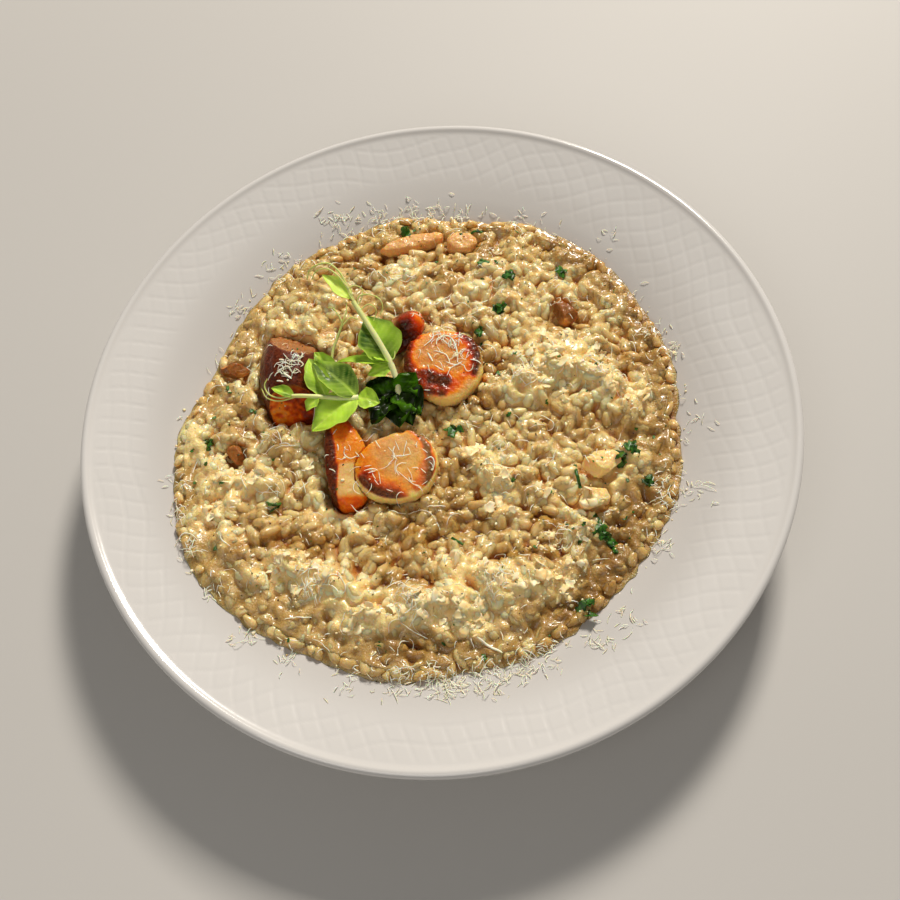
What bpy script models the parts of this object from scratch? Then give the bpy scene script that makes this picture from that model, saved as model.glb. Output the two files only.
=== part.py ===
"""
A plated mushroom risotto: a deep porcelain plate, the heap of risotto in it, seared
mushroom pieces, smaller pieces sunk in the rice, and two pea shoots on top.

Frame: metres, +Z up. The origin is on the table, under the middle of the plate, and
the person who eats sits on the -Y side. Tables of places are in millimetres.
"""

import math

import bmesh
import bpy
from mathutils import Euler, Matrix, Vector, noise

MM = 0.001
GAP = 0.3 * MM                       # clearance between neighbouring pieces
BED_GAP = 0.5 * MM                   # the same under the heap, on the faceted curve
WELD = 0.01 * MM                     # points nearer than this are one point
SHARP_ANGLE = math.radians(35)       # an edge that turns more than this is drawn sharp

# Plate
PLATE_RADIUS = 140 * MM
PLATE_HEIGHT = 36 * MM
PLATE_STEPS = 56
WALL = 4.5 * MM                      # porcelain, measured straight down
FLOOR_RADIUS = 58 * MM               # flat middle of the well
FLOOR_TOP = 7.5 * MM
SHOULDER_RADIUS = 107 * MM           # where the side of the well turns into the rim
RIM_SLOPE = math.tan(math.radians(15))
BEAD_RADIUS = 2 * MM                 # rounded lip at the edge
RIM_END = PLATE_RADIUS - 2 * BEAD_RADIUS
SHOULDER_TOP = PLATE_HEIGHT - BEAD_RADIUS / 2 - (RIM_END - SHOULDER_RADIUS) * RIM_SLOPE
SIDE_SPANS = 6                       # straight spans along the curved side
BEAD_POINTS = 5                      # points round the outer half of the lip
UNDERSIDE = (134 * MM, SHOULDER_RADIUS, 90 * MM)   # radii, from the lip inwards
FOOT_OUTER = 74 * MM
FOOT_CORNER = (72.5 * MM, 1.2 * MM)  # radius and height of its chamfer
FOOT_FLAT = (66 * MM, 70.5 * MM)     # the ring that stands on the table
FOOT_INNER = 63 * MM
RECESS = 3 * MM                      # the base inside the foot is clear of the table

# Risotto
HEAP_CENTRE = Vector((-3.5, -3.0)) * MM
HEAP_RADIUS = 100.8 * MM
HEAP_WAVES = (                       # waves round the edge, amplitude, crest angle
    (2, 3.3 * MM, 45), (3, 1.3 * MM, -42), (4, 1.2 * MM, 20), (5, 0.9 * MM, -27),
    (9, 0.8 * MM, 10), (13, 0.6 * MM, 5))
HEAP_SPOKES = 52
HEAP_RINGS = (0.20, 0.37, 0.51, 0.63, 0.73, 0.82, 0.91, 0.98)   # shares of the radius
UNDER_RINGS = (1.0, 0.92, 0.81, 0.70, 0.60)
SEAM = 0.0001                        # the same point, as a share of the radius
HEAP_TOP = 28.5 * MM                 # level of the middle, between the ridges
EDGE_DEPTH = 1.0 * MM                # how thick the heap is just inside its edge
EDGE_BAND = 0.34                     # outer share of the radius that slopes down
LUMP_SIZE = 17 * MM
LUMP_HEIGHT = 1.8 * MM
RIDGES = (                           # crest line in mm, height, half-width
    (((-84, -40), (-62, -52), (-44, -64), (-18, -72), (8, -72), (30, -68), (52, -60)),
     4.6 * MM, 11 * MM),
    (((20, 6), (38, 16), (58, 16), (72, 2), (84, -14)), 4.4 * MM, 12 * MM),
    (((10, -28), (26, -22)), 2.6 * MM, 9 * MM),
    (((52, -42), (66, -34)), 3.0 * MM, 9 * MM),
    (((-76, 14), (-70, -12)), 2.0 * MM, 10 * MM),
    (((-60, 62), (-30, 74), (6, 66), (34, 58)), 2.2 * MM, 12 * MM))

# Seared mushroom slices and sunken pieces: pebbles of an outline and a thickness.
# middle, half sizes and turn (degrees about X, Y, Z); waves as for the heap
SLICES = {
    "mushroom_slice_right": dict(
        middle=(6.4, 19.0, 33.3), half=(15.6, 16.2, 4.5), turn=(4, 3, 8),
        waves=((2, 0.03, 150), (3, 0.035, 20), (5, 0.02, 40)), colour="seared", dish=0.10),
    "mushroom_slice_front": dict(
        middle=(-18.0, -20.0, 31.8), half=(16.2, 15.0, 4.0), turn=(7, 1, 0),
        waves=((2, 0.03, 30), (3, 0.03, 75), (5, 0.015, 10)), notch=(98, 0.20, 13),
        colour="seared", dish=0.08),
    "mushroom_wedge_back": dict(
        middle=(-7.4, 38.6, 32.4), half=(10.2, 6.6, 5.0), turn=(38, -28, 24),
        waves=((2, 0.06, 0), (3, 0.05, 60)), colour="seared", dish=0.0,
        clear_of="mushroom_slice_right"),
    "mushroom_wedge_front": dict(
        middle=(-37.6, -15.6, 30.2), half=(9.6, 18.4, 6.2), turn=(9, 14, 4),
        waves=((2, 0.03, 90), (3, 0.05, 100)), colour="seared", dish=0.0,
        clear_of="mushroom_slice_front"),
    "mushroom_strip_back": dict(
        middle=(2.8, 84.4, 26.4), half=(13.4, 3.8, 3.0), turn=(-6, 3, 6),
        waves=((2, 0.05, 0), (3, 0.06, 80)), colour="pale", dish=0.0),
    "mushroom_strip_back_right": dict(
        middle=(23.0, 80.0, 26.8), half=(6.6, 5.0, 3.2), turn=(-6, 4, -20),
        waves=((2, 0.05, 30), (3, 0.05, 10)), colour="pale", dish=0.0),
    "mushroom_chip_right": dict(
        middle=(58.6, 37.0, 28.6), half=(4.6, 6.8, 3.4), turn=(-4, 8, 12),
        waves=((3, 0.10, 80),), colour="browned", dish=0.0),
    "mushroom_chip_left": dict(
        middle=(-78.0, 37.2, 27.2), half=(6.0, 3.2, 2.8), turn=(4, -8, -14),
        waves=((2, 0.05, 0), (3, 0.08, -90)), colour="browned", dish=0.0),
    "mushroom_chip_front_left": dict(
        middle=(-80.0, -1.4, 28.2), half=(3.2, 4.4, 2.8), turn=(0, -8, 24),
        waves=((3, 0.08, 40),), colour="browned", dish=0.0),
    "mushroom_dice_right": dict(
        middle=(58.6, -33.4, 32.0), half=(8.2, 5.2, 4.4), turn=(-4, 6, -8),
        waves=((4, 0.06, 40),), colour="pale", dish=0.0),
    "mushroom_dice_front_right": dict(
        middle=(53.2, -46.2, 31.0), half=(6.4, 5.0, 4.2), turn=(5, -4, 22),
        waves=((4, 0.06, 50),), colour="pale", dish=0.0),
}
SLICE_SEGMENTS = 18
SLICE_RINGS = 8
CHIP_SEGMENTS = 12
CHIP_RINGS = 6
CHIP_LIMIT = 14 * MM                 # a piece with smaller half sizes is made coarser
SQUARENESS = 0.34                    # 1 is an ellipsoid, 0 a straight-sided block

# Cap wedge at the left: a dome with its base, back and front cut off
CAP_MIDDLE = Vector((-54.6, 27.2, 26.0)) * MM
CAP_HALF = Vector((14.0, 24.0, 16.8)) * MM
CAP_WAVES = ((2, 0.03, 60), (3, 0.02, 0))
CAP_TURN = 4
CAP_CUTS = (                         # point and normal in the dome's own frame
    ((0, 0, -2.0), (0.0, 0.0, -1.0)),
    ((-3.0, 14.0, 11.0), (0.42, 0.66, 0.62)),
    ((0.0, -11.4, 10.4), (-0.14, -0.86, 0.50)))

# Pea shoots: routes of stems and tendrils, and leaves from base to tip, in mm
STEM_ROUNDING = (1, 2)               # bevel resolution, and points for each span
TENDRIL_ROUNDING = (0, 1)
LEAF_THICKNESS = 0.5 * MM
LEAF_CELLS = (5, 2)
LEAF_ENDS = 0.08                     # share of the width left at the base and the tip
LEAF_SKEW = 0.8                      # below 1 the widest place is nearer the base
LEAF_FULLNESS = 0.85                 # below 1 the outline is fuller than a sine
TALL_STEM_RADII = (1.15, 0.95)
TALL_STEM = ((-12.7, 8.6, 34.6), (-12.9, 15.0, 38.4), (-14.0, 20.6, 41.2),
             (-16.2, 26.6, 44.3), (-19.3, 33.6, 47.5), (-22.3, 40.4, 50.1),
             (-24.3, 45.0, 51.5))
TALL_TENDRILS = (                    # radius at base and tip, route
    (0.60, 0.20, ((-23.6, 43.4, 50.9), (-25.9, 51.8, 54.0), (-27.7, 56.2, 56.5),
                  (-31.2, 60.0, 58.0), (-35.2, 60.8, 57.5), (-39.3, 60.5, 55.0),
                  (-41.1, 58.3, 51.8))),
    (0.45, 0.20, ((-25.2, 49.6, 53.1), (-28.3, 54.6, 56.0), (-32.2, 58.3, 57.0),
                  (-36.6, 59.0, 55.6), (-39.2, 57.6, 52.6))),
    (0.30, 0.22, ((-23.2, 42.6, 50.7), (-21.6, 45.6, 53.0), (-17.6, 45.4, 53.6),
                  (-14.0, 43.4, 52.4), (-13.2, 40.4, 50.6), (-15.0, 38.2, 48.8))),
    (0.28, 0.20, ((-24.0, 44.0, 51.3), (-25.4, 48.4, 54.2), (-22.8, 49.6, 55.2),
                  (-20.0, 48.0, 54.2), (-20.6, 45.0, 52.8), (-22.6, 42.9, 51.2))),
    (0.28, 0.20, ((-22.4, 40.9, 50.2), (-18.4, 42.0, 52.0), (-15.9, 40.0, 50.2),
                  (-17.6, 36.8, 47.8))),
    (0.30, 0.20, ((-14.2, 21.4, 41.6), (-12.2, 21.6, 42.6), (-11.4, 24.4, 43.0))))
TALL_LEAVES = (                      # base, tip, width, cup, arch, roll
    ((-24.7, 46.0, 51.6), (-34.6, 57.2, 55.4), 5.6, 1.6, 0.6, -20),
    ((-14.6, 21.4, 40.6), (-20.2, 41.0, 45.4), 17.0, 1.8, 2.0, 6),
    ((-14.2, 20.4, 40.8), (-25.4, 27.6, 39.4), 7.6, 1.2, 1.0, -10),
    ((-14.0, 20.0, 40.6), (-34.6, 24.6, 42.0), 4.6, 1.2, 1.4, 18),
    ((-12.9, 9.6, 35.2), (-4.8, 15.2, 40.0), 9.0, 1.8, 1.0, 30),
    ((-13.0, 10.0, 34.8), (-6.4, 0.6, 35.6), 9.4, 1.8, 1.4, -8),
    ((-13.2, 9.8, 34.4), (-15.6, -3.4, 35.4), 8.4, 1.6, 1.2, 6),
    ((-13.2, 10.2, 34.8), (-24.2, 3.4, 33.8), 8.6, 1.6, 1.2, 12),
    ((-13.0, 10.6, 35.4), (-25.2, 15.2, 36.6), 7.6, 1.4, 1.0, -14))
SIDE_STEM = ((-28.4, 9.2, 38.8), (-32.4, 9.2, 39.4), (-38.4, 9.9, 40.8),
             (-43.6, 10.6, 42.4), (-48.8, 11.2, 43.8), (-53.4, 11.8, 44.4))
SIDE_STEM_RADII = (0.95, 0.7)
SIDE_TENDRILS = (
    (0.80, 0.45, ((-33.0, 9.2, 39.5), (-35.4, 16.6, 40.6), (-36.6, 24.0, 41.8),
                  (-35.6, 28.6, 43.4), (-33.6, 32.0, 45.2), (-31.1, 35.6, 47.4),
                  (-29.2, 38.8, 49.4))),
    (0.34, 0.20, ((-29.8, 37.6, 48.6), (-30.9, 40.8, 50.4), (-32.4, 43.4, 51.2),
                  (-34.4, 44.6, 50.6))),
    (0.34, 0.20, ((-30.2, 36.9, 48.2), (-27.6, 41.4, 50.4), (-27.0, 44.6, 51.4))),
    (0.30, 0.20, ((-30.5, 36.4, 47.9), (-26.4, 38.6, 50.0), (-23.6, 37.0, 50.6))),
    (0.42, 0.20, ((-52.2, 11.7, 44.2), (-58.2, 11.8, 44.6), (-62.0, 13.9, 45.0),
                  (-63.2, 17.3, 46.0), (-61.6, 19.6, 47.2))),
    (0.36, 0.20, ((-51.0, 11.4, 44.0), (-58.2, 10.8, 43.9), (-63.0, 12.9, 44.2),
                  (-64.6, 16.8, 45.2))))
SIDE_LEAVES = (
    ((-29.0, 9.6, 39.0), (-44.0, 25.6, 43.6), 12.0, 1.6, 1.8, 10),
    ((-40.6, 10.4, 41.4), (-45.4, 28.4, 42.2), 9.4, 1.2, 1.4, -6),
    ((-35.9, 20.0, 41.2), (-43.0, 30.4, 42.8), 6.6, 1.0, 0.8, -12),
    ((-29.0, 9.0, 38.9), (-48.2, -1.2, 37.2), 14.4, 1.8, 2.0, 4),
    ((-28.8, 9.2, 38.9), (-20.4, 5.2, 38.8), 8.4, 1.4, 0.8, 8),
    ((-52.6, 11.7, 44.4), (-60.8, 16.2, 45.4), 4.2, 1.2, 0.6, 0),
    ((-43.4, 10.6, 42.4), (-49.0, 6.4, 40.4), 5.0, 0.8, 0.8, 0))

COLOURS = {                          # base colour and roughness
    "porcelain": ((0.72, 0.69, 0.64), 0.18),
    "rice": ((0.56, 0.40, 0.19), 0.38),
    "seared": ((0.62, 0.27, 0.07), 0.30),
    "skin": ((0.10, 0.035, 0.025), 0.28),
    "pale": ((0.66, 0.43, 0.22), 0.40),
    "browned": ((0.36, 0.16, 0.05), 0.38),
    "shoot": ((0.22, 0.42, 0.06), 0.36)}


# ------------------------------------------------------------------ scene helpers

def clear_scene():
    for item in list(bpy.data.objects):
        bpy.data.objects.remove(item, do_unlink=True)


def new_collection(name):
    collection = bpy.data.collections.new(name)
    bpy.context.scene.collection.children.link(collection)
    return collection


def finish_material(name, finish):
    """A Principled material in one of the finishes of COLOURS."""
    colour, roughness = COLOURS[finish]
    material = bpy.data.materials.new(name)
    material.use_nodes = True
    shader = material.node_tree.nodes["Principled BSDF"]
    shader.inputs["Base Color"].default_value = (*colour, 1)
    shader.inputs["Roughness"].default_value = roughness
    shader.inputs["Metallic"].default_value = 0
    material.diffuse_color = (*colour, 1)
    return material


def add_piece(name, mesh, collection, finish=None):
    piece = bpy.data.objects.new(name, mesh)
    collection.objects.link(piece)
    if finish:
        mesh.materials.append(finish_material(name, finish))
    return piece


def add_cutter(name, mesh, collection):
    cutter = add_piece(name, mesh, collection)
    cutter.hide_render = True
    cutter.display_type = "WIRE"
    return cutter


def mesh_from_bmesh(name, shape):
    """A smooth-shaded mesh of the shape, which is freed."""
    mesh = bpy.data.meshes.new(name)
    shape.to_mesh(mesh)
    shape.free()
    mesh.shade_smooth()
    mesh.set_sharp_from_angle(angle=SHARP_ANGLE)
    return mesh


def evaluated_mesh(piece):
    """The object's mesh with its modifiers, its loose caps welded; the object goes."""
    graph = bpy.context.evaluated_depsgraph_get()
    mesh = bpy.data.meshes.new_from_object(piece.evaluated_get(graph))
    shape = bmesh.new()
    shape.from_mesh(mesh)
    bmesh.ops.remove_doubles(shape, verts=shape.verts, dist=WELD)
    bmesh.ops.recalc_face_normals(shape, faces=shape.faces)
    shape.to_mesh(mesh)
    shape.free()
    bpy.data.objects.remove(piece, do_unlink=True)
    return mesh


def to_metres(points):
    return [Vector(point) * MM for point in points]


def wavy(angle, waves):
    """Sum of waves round a full turn; each is (count, amplitude, crest in degrees)."""
    return sum(size * math.cos(count * (angle - math.radians(crest)))
               for count, size, crest in waves)


def smoothstep(value):
    value = min(max(value, 0.0), 1.0)
    return value * value * (3 - 2 * value)


# ------------------------------------------------------------------ plate

def plate_top(radius):
    """Height of the plate's upper side: flat floor, curved side, straight rim."""
    if radius <= FLOOR_RADIUS:
        return FLOOR_TOP
    if radius >= SHOULDER_RADIUS:
        return SHOULDER_TOP + (radius - SHOULDER_RADIUS) * RIM_SLOPE
    span = SHOULDER_RADIUS - FLOOR_RADIUS
    t = (radius - FLOOR_RADIUS) / span
    rise = t * t * (3 - 2 * t)
    end_slope = t * t * (t - 1) * span * RIM_SLOPE
    return FLOOR_TOP * (1 - rise) + SHOULDER_TOP * rise + end_slope


def plate_profile():
    """Half section: from the middle of the floor outwards, round the lip, and back."""
    bead_radius = PLATE_RADIUS - BEAD_RADIUS
    bead_height = PLATE_HEIGHT - BEAD_RADIUS
    span = (SHOULDER_RADIUS - FLOOR_RADIUS) / SIDE_SPANS
    upper = [FLOOR_RADIUS + span * i for i in range(SIDE_SPANS + 1)] + [RIM_END]
    turns = [math.radians(135 - 180 * i / (BEAD_POINTS - 1)) for i in range(BEAD_POINTS)]
    profile = [(0.0, FLOOR_TOP)]
    profile += [(radius, plate_top(radius)) for radius in upper]
    profile += [(bead_radius + BEAD_RADIUS * math.cos(turn),
                 bead_height + BEAD_RADIUS * math.sin(turn)) for turn in turns]
    profile += [(radius, plate_top(radius) - WALL) for radius in (*UNDERSIDE, FOOT_OUTER)]
    profile += [FOOT_CORNER, (FOOT_FLAT[1], 0.0), (FOOT_FLAT[0], 0.0),
                (FOOT_INNER, RECESS), (0.0, RECESS)]
    return profile


def build_plate(collection):
    mesh = bpy.data.meshes.new("plate")
    profile = plate_profile()
    edges = [(i, i + 1) for i in range(len(profile) - 1)]
    mesh.from_pydata([(radius, 0, height) for radius, height in profile], edges, [])
    plate = add_piece("plate", mesh, collection, "porcelain")
    screw = plate.modifiers.new("turn", "SCREW")
    screw.angle = 2 * math.pi
    screw.steps = PLATE_STEPS
    screw.render_steps = PLATE_STEPS
    screw.use_merge_vertices = True
    screw.merge_threshold = WELD
    screw.use_smooth_shade = True


# ------------------------------------------------------------------ risotto

def distance_to_path(point, path):
    """Distance in plan from a point to a line of corners."""
    nearest = math.inf
    for start, end in zip(path, path[1:]):
        along = end - start
        share = (point - start).dot(along) / along.length_squared
        share = min(max(share, 0.0), 1.0)
        nearest = min(nearest, (point - start - along * share).length)
    return nearest


def heap_radius(angle):
    return HEAP_RADIUS + wavy(angle, HEAP_WAVES)


def heap_top(place, share, edge_level):
    """Height of the rice at a place; share is 0 in the middle and 1 at the edge."""
    height = HEAP_TOP
    for path, rise, width in RIDGES:
        distance = distance_to_path(place, [Vector(corner) * MM for corner in path])
        height += rise * math.exp(-(distance / width) ** 2)
    seed = Vector((place.x, place.y, 0)) / LUMP_SIZE
    height += LUMP_HEIGHT * noise.noise(seed)
    slope = smoothstep((share - 1 + EDGE_BAND) / EDGE_BAND)
    return height * (1 - slope) + edge_level * slope


def heap_place(angle, share):
    """Point in plan on a spoke of the heap, at a share of the way to its edge."""
    spoke = Vector((math.cos(angle), math.sin(angle)))
    return HEAP_CENTRE + spoke * heap_radius(angle) * share


def build_risotto(collection, pockets):
    """A turned lens of rings, pushed out to the uneven heap on the plate's surface."""
    profile = [(0.0, 1)] + [(share, 1) for share in HEAP_RINGS]
    profile += [(share, -1) for share in UNDER_RINGS] + [(0.0, -1)]
    shape = bmesh.new()
    line = [shape.verts.new((share, 0, side)) for share, side in profile]
    edges = [shape.edges.new(pair) for pair in zip(line, line[1:])]
    bmesh.ops.spin(shape, geom=line + edges, cent=(0, 0, 0), axis=(0, 0, 1),
                   angle=2 * math.pi, steps=HEAP_SPOKES)
    bmesh.ops.remove_doubles(shape, verts=shape.verts, dist=SEAM)
    for vert in shape.verts:
        share = math.hypot(vert.co.x, vert.co.y)
        angle = math.atan2(vert.co.y, vert.co.x)
        place = heap_place(angle, share)
        height = plate_top(place.length) + BED_GAP
        if vert.co.z > 0:
            edge_level = plate_top(heap_place(angle, 1).length) + BED_GAP + EDGE_DEPTH
            height = heap_top(place, share, edge_level)
        vert.co = (place.x, place.y, height)
    bmesh.ops.recalc_face_normals(shape, faces=shape.faces)
    risotto = add_piece("risotto", mesh_from_bmesh("risotto", shape), collection, "rice")
    pocket = risotto.modifiers.new("pockets", "BOOLEAN")
    pocket.operation = "DIFFERENCE"
    pocket.operand_type = "COLLECTION"
    pocket.collection = pockets


# ------------------------------------------------------------------ mushrooms

def power(value, exponent):
    return math.copysign(abs(value) ** exponent, value)


def notch_depth(angle, notch):
    """A bite out of an outline: (angle in degrees, depth share, half-width in degrees)."""
    if not notch:
        return 0.0
    at, depth, width = notch
    turn = math.remainder(angle - math.radians(at), 2 * math.pi)
    return depth * math.exp(-(turn / math.radians(width)) ** 2)


def pebble_shape(half, waves, dish=0.0, notch=None, dome=False):
    """A sphere squared off into a slice: flat faces, rounded edge, wavy outline."""
    small = max(half) * MM < CHIP_LIMIT
    segments = CHIP_SEGMENTS if small else SLICE_SEGMENTS
    rings = CHIP_RINGS if small else SLICE_RINGS
    shape = bmesh.new()
    bmesh.ops.create_uvsphere(shape, u_segments=segments, v_segments=rings, radius=1)
    for vert in shape.verts:
        angle = math.atan2(vert.co.y, vert.co.x)
        level = math.hypot(vert.co.x, vert.co.y)
        squareness = 1.0 if dome else SQUARENESS
        reach = power(level, squareness) * (1 + wavy(angle, waves))
        reach *= 1 - notch_depth(angle, notch)
        height = power(vert.co.z, squareness)
        height -= dish * 2 * (1 - reach * reach) * (1 if height > 0 else 0)
        vert.co = (half[0] * MM * reach * math.cos(angle),
                   half[1] * MM * reach * math.sin(angle), half[2] * MM * height)
    return shape


def grown_copy(mesh, name):
    """The mesh with every face pushed out by the clearance, for a cutter."""
    shape = bmesh.new()
    shape.from_mesh(mesh)
    shape.normal_update()
    shifts = [vert.normal * GAP * vert.calc_shell_factor() for vert in shape.verts]
    for vert, shift in zip(shape.verts, shifts):
        vert.co += shift
    grown = bpy.data.meshes.new(name)
    shape.to_mesh(grown)
    shape.free()
    return grown


def build_slices(collection, pockets):
    """The seared slices and sunken pieces, each with a pocket in the rice."""
    pieces = {}
    for name, design in SLICES.items():
        shape = pebble_shape(design["half"], design["waves"], design["dish"],
                             design.get("notch"))
        piece = add_piece(name, mesh_from_bmesh(name, shape), collection,
                          design["colour"])
        piece.location = Vector(design["middle"]) * MM
        piece.rotation_euler = Euler([math.radians(a) for a in design["turn"]])
        pieces[name] = piece
        pocket = add_cutter(name + "_pocket", grown_copy(piece.data, name), pockets)
        pocket.location = piece.location
        pocket.rotation_euler = piece.rotation_euler
        pieces[name + "_pocket"] = pocket
    for name, design in SLICES.items():
        if "clear_of" in design:
            cut = pieces[name].modifiers.new("clearance", "BOOLEAN")
            cut.operation = "DIFFERENCE"
            cut.object = pieces[design["clear_of"] + "_pocket"]


def build_cap_wedge(collection, pockets):
    """The thick wedge of a dark cap: a dome with its base and two faces cut off."""
    shape = pebble_shape(CAP_HALF / MM, CAP_WAVES, dome=True)
    for point, normal in CAP_CUTS:
        cut = bmesh.ops.bisect_plane(
            shape, geom=list(shape.verts) + list(shape.edges) + list(shape.faces),
            plane_co=Vector(point) * MM, plane_no=Vector(normal), clear_outer=True)
        rim = [edge for edge in cut["geom_cut"] if isinstance(edge, bmesh.types.BMEdge)]
        bmesh.ops.contextual_create(shape, geom=rim)
    bmesh.ops.recalc_face_normals(shape, faces=shape.faces)
    name = "mushroom_cap_wedge"
    wedge = add_piece(name, mesh_from_bmesh(name, shape), collection, "skin")
    wedge.location = CAP_MIDDLE
    wedge.rotation_euler.z = math.radians(CAP_TURN)
    pocket = add_cutter(name + "_pocket", grown_copy(wedge.data, name), pockets)
    pocket.location = wedge.location
    pocket.rotation_euler = wedge.rotation_euler


# ------------------------------------------------------------------ pea shoots

def smooth_route(points, per_span):
    """Points along the Catmull-Rom curve through the given points."""
    ends = [points[0] * 2 - points[1]] + list(points) + [points[-1] * 2 - points[-2]]
    route = []
    for a, b, c, d in zip(ends, ends[1:], ends[2:], ends[3:]):
        for step in range(per_span):
            t = step / per_span
            route.append(0.5 * (2 * b + (c - a) * t + (2 * a - 5 * b + 4 * c - d) * t * t
                                + (3 * b - a - 3 * c + d) * t ** 3))
    return route + [points[-1]]


def tube_mesh(name, points, radii, rounding, scratch):
    """A tapering stem or tendril as a closed mesh; radii are at its start and its end."""
    bevel, per_span = rounding
    route = smooth_route(to_metres(points), per_span)
    curve = bpy.data.curves.new(name, "CURVE")
    curve.dimensions = "3D"
    curve.bevel_depth = 1 * MM
    curve.bevel_resolution = bevel
    curve.use_fill_caps = True
    spline = curve.splines.new("POLY")
    spline.points.add(len(route) - 1)
    for i, (point, place) in enumerate(zip(spline.points, route)):
        share = i / (len(route) - 1)
        point.co = (*place, 1)
        point.radius = radii[0] + (radii[1] - radii[0]) * share
    return evaluated_mesh(add_piece(name, curve, scratch))


def leaf_width(share):
    """Half-width of an oval, pointed leaf, at a share of the way to its tip."""
    outline = math.sin(math.pi * share ** LEAF_SKEW) ** LEAF_FULLNESS
    return LEAF_ENDS + (1 - LEAF_ENDS) * outline


def leaf_mesh(name, base, tip, width, cup, arch, roll, scratch):
    """A leaf from base to tip: a cupped, arched sheet with a thickness."""
    base, tip = to_metres((base, tip))
    along = tip - base
    side = along.cross(Vector((0, 0, 1))).normalized()
    side.rotate(Matrix.Rotation(math.radians(roll), 3, along))
    face = side.cross(along).normalized()
    shape = bmesh.new()
    bmesh.ops.create_grid(shape, x_segments=LEAF_CELLS[0], y_segments=LEAF_CELLS[1],
                          size=1)
    for vert in shape.verts:
        share, across = min(max((vert.co.x + 1) / 2, 0.0), 1.0), vert.co.y
        reach = leaf_width(share) * width / 2
        lift = cup * across * across * leaf_width(share)
        lift += arch * math.sin(math.pi * share)
        vert.co = base + along * share + side * across * reach * MM + face * lift * MM
    leaf = add_piece(name, mesh_from_bmesh(name, shape), scratch)
    solid = leaf.modifiers.new("thickness", "SOLIDIFY")
    solid.thickness = LEAF_THICKNESS
    solid.offset = 0
    return evaluated_mesh(leaf)


def build_shoot(name, stem, stem_radii, tendrils, leaves, collection, growth):
    """One pea shoot: its stem, with its leaves and tendrils grown into one solid."""
    stem_mesh = tube_mesh(name, stem, stem_radii, STEM_ROUNDING, growth)
    shoot = add_piece(name, stem_mesh, collection, "shoot")
    for i, (start_radius, end_radius, route) in enumerate(tendrils):
        label = f"{name}_tendril_{i + 1}"
        radii = (start_radius, end_radius)
        add_cutter(label, tube_mesh(label, route, radii, TENDRIL_ROUNDING, growth), growth)
    for i, leaf in enumerate(leaves):
        label = f"{name}_leaf_{i + 1}"
        add_cutter(label, leaf_mesh(label, *leaf, growth), growth)
    join = shoot.modifiers.new("growth", "BOOLEAN")
    join.operation = "UNION"
    join.operand_type = "COLLECTION"
    join.collection = growth


def main():
    clear_scene()
    dish = new_collection("mushroom_risotto")
    pockets = new_collection("pockets")
    build_plate(dish)
    build_risotto(dish, pockets)
    build_slices(dish, pockets)
    build_cap_wedge(dish, pockets)
    build_shoot("pea_shoot_tall", TALL_STEM, TALL_STEM_RADII, TALL_TENDRILS, TALL_LEAVES,
                dish, new_collection("tall_growth"))
    build_shoot("pea_shoot_side", SIDE_STEM, SIDE_STEM_RADII, SIDE_TENDRILS, SIDE_LEAVES,
                dish, new_collection("side_growth"))


main()
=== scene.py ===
"""
Looks of the plated mushroom risotto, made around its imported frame.

Shapes are worked out in millimetres over the plate, with the diner on the -Y side, and
turned into metres when a mesh is made. Every random draw has its own fixed seed.
"""

import math

import bpy
import numpy as np
from mathutils import Matrix, Vector, noise
from mathutils.bvhtree import BVHTree


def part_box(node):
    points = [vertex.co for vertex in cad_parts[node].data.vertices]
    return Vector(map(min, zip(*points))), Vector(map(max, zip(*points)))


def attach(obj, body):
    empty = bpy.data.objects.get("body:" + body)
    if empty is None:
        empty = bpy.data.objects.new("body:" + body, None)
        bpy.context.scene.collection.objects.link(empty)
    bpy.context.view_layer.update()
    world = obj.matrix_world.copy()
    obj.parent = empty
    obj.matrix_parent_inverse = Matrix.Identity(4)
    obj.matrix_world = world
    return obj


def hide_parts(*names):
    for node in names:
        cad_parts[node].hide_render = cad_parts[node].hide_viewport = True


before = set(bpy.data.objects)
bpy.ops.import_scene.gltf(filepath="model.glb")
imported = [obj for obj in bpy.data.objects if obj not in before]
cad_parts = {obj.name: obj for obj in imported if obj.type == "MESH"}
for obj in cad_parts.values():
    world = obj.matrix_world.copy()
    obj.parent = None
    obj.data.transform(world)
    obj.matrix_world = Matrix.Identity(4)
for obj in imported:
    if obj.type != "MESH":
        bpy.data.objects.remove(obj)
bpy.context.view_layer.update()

MM = 0.001

# Plate, in mm
PLATE_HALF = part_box("plate")[1].x / MM
PLATE_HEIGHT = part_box("plate")[1].z / MM
WALL = 4.5
FLOOR_RADIUS = 58.0
FLOOR_TOP = 7.5
SHOULDER_RADIUS = 107.0
RIM_SLOPE = math.tan(math.radians(15))
BEAD_RADIUS = 2.0
RIM_END = PLATE_HALF - 2 * BEAD_RADIUS
SHOULDER_TOP = PLATE_HEIGHT - BEAD_RADIUS / 2 - (RIM_END - SHOULDER_RADIUS) * RIM_SLOPE
FOOT = ((74.0, None), (72.5, 1.2), (70.5, 0.0), (66.0, 0.0), (63.0, 3.0), (0.5, 3.0))
PLATE_SIDES = 240
NET_SIDES = 960
NET_STEP = 0.8
NET_START = 98.0
NET_CELL = 7.0
NET_GROOVE = 0.42                    # half-width of a groove
NET_DEPTH = 0.17
NET_FADE = (133.0, 135.5)            # radii over which the net ends
WELL_FADE = (106.0, 124.0)           # radii over which the painted shade in the well ends
UNDER_RADII = (134.0, 120.0, 110.0, 104.0, 98.0, 92.0, 86.0, 80.0)

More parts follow.
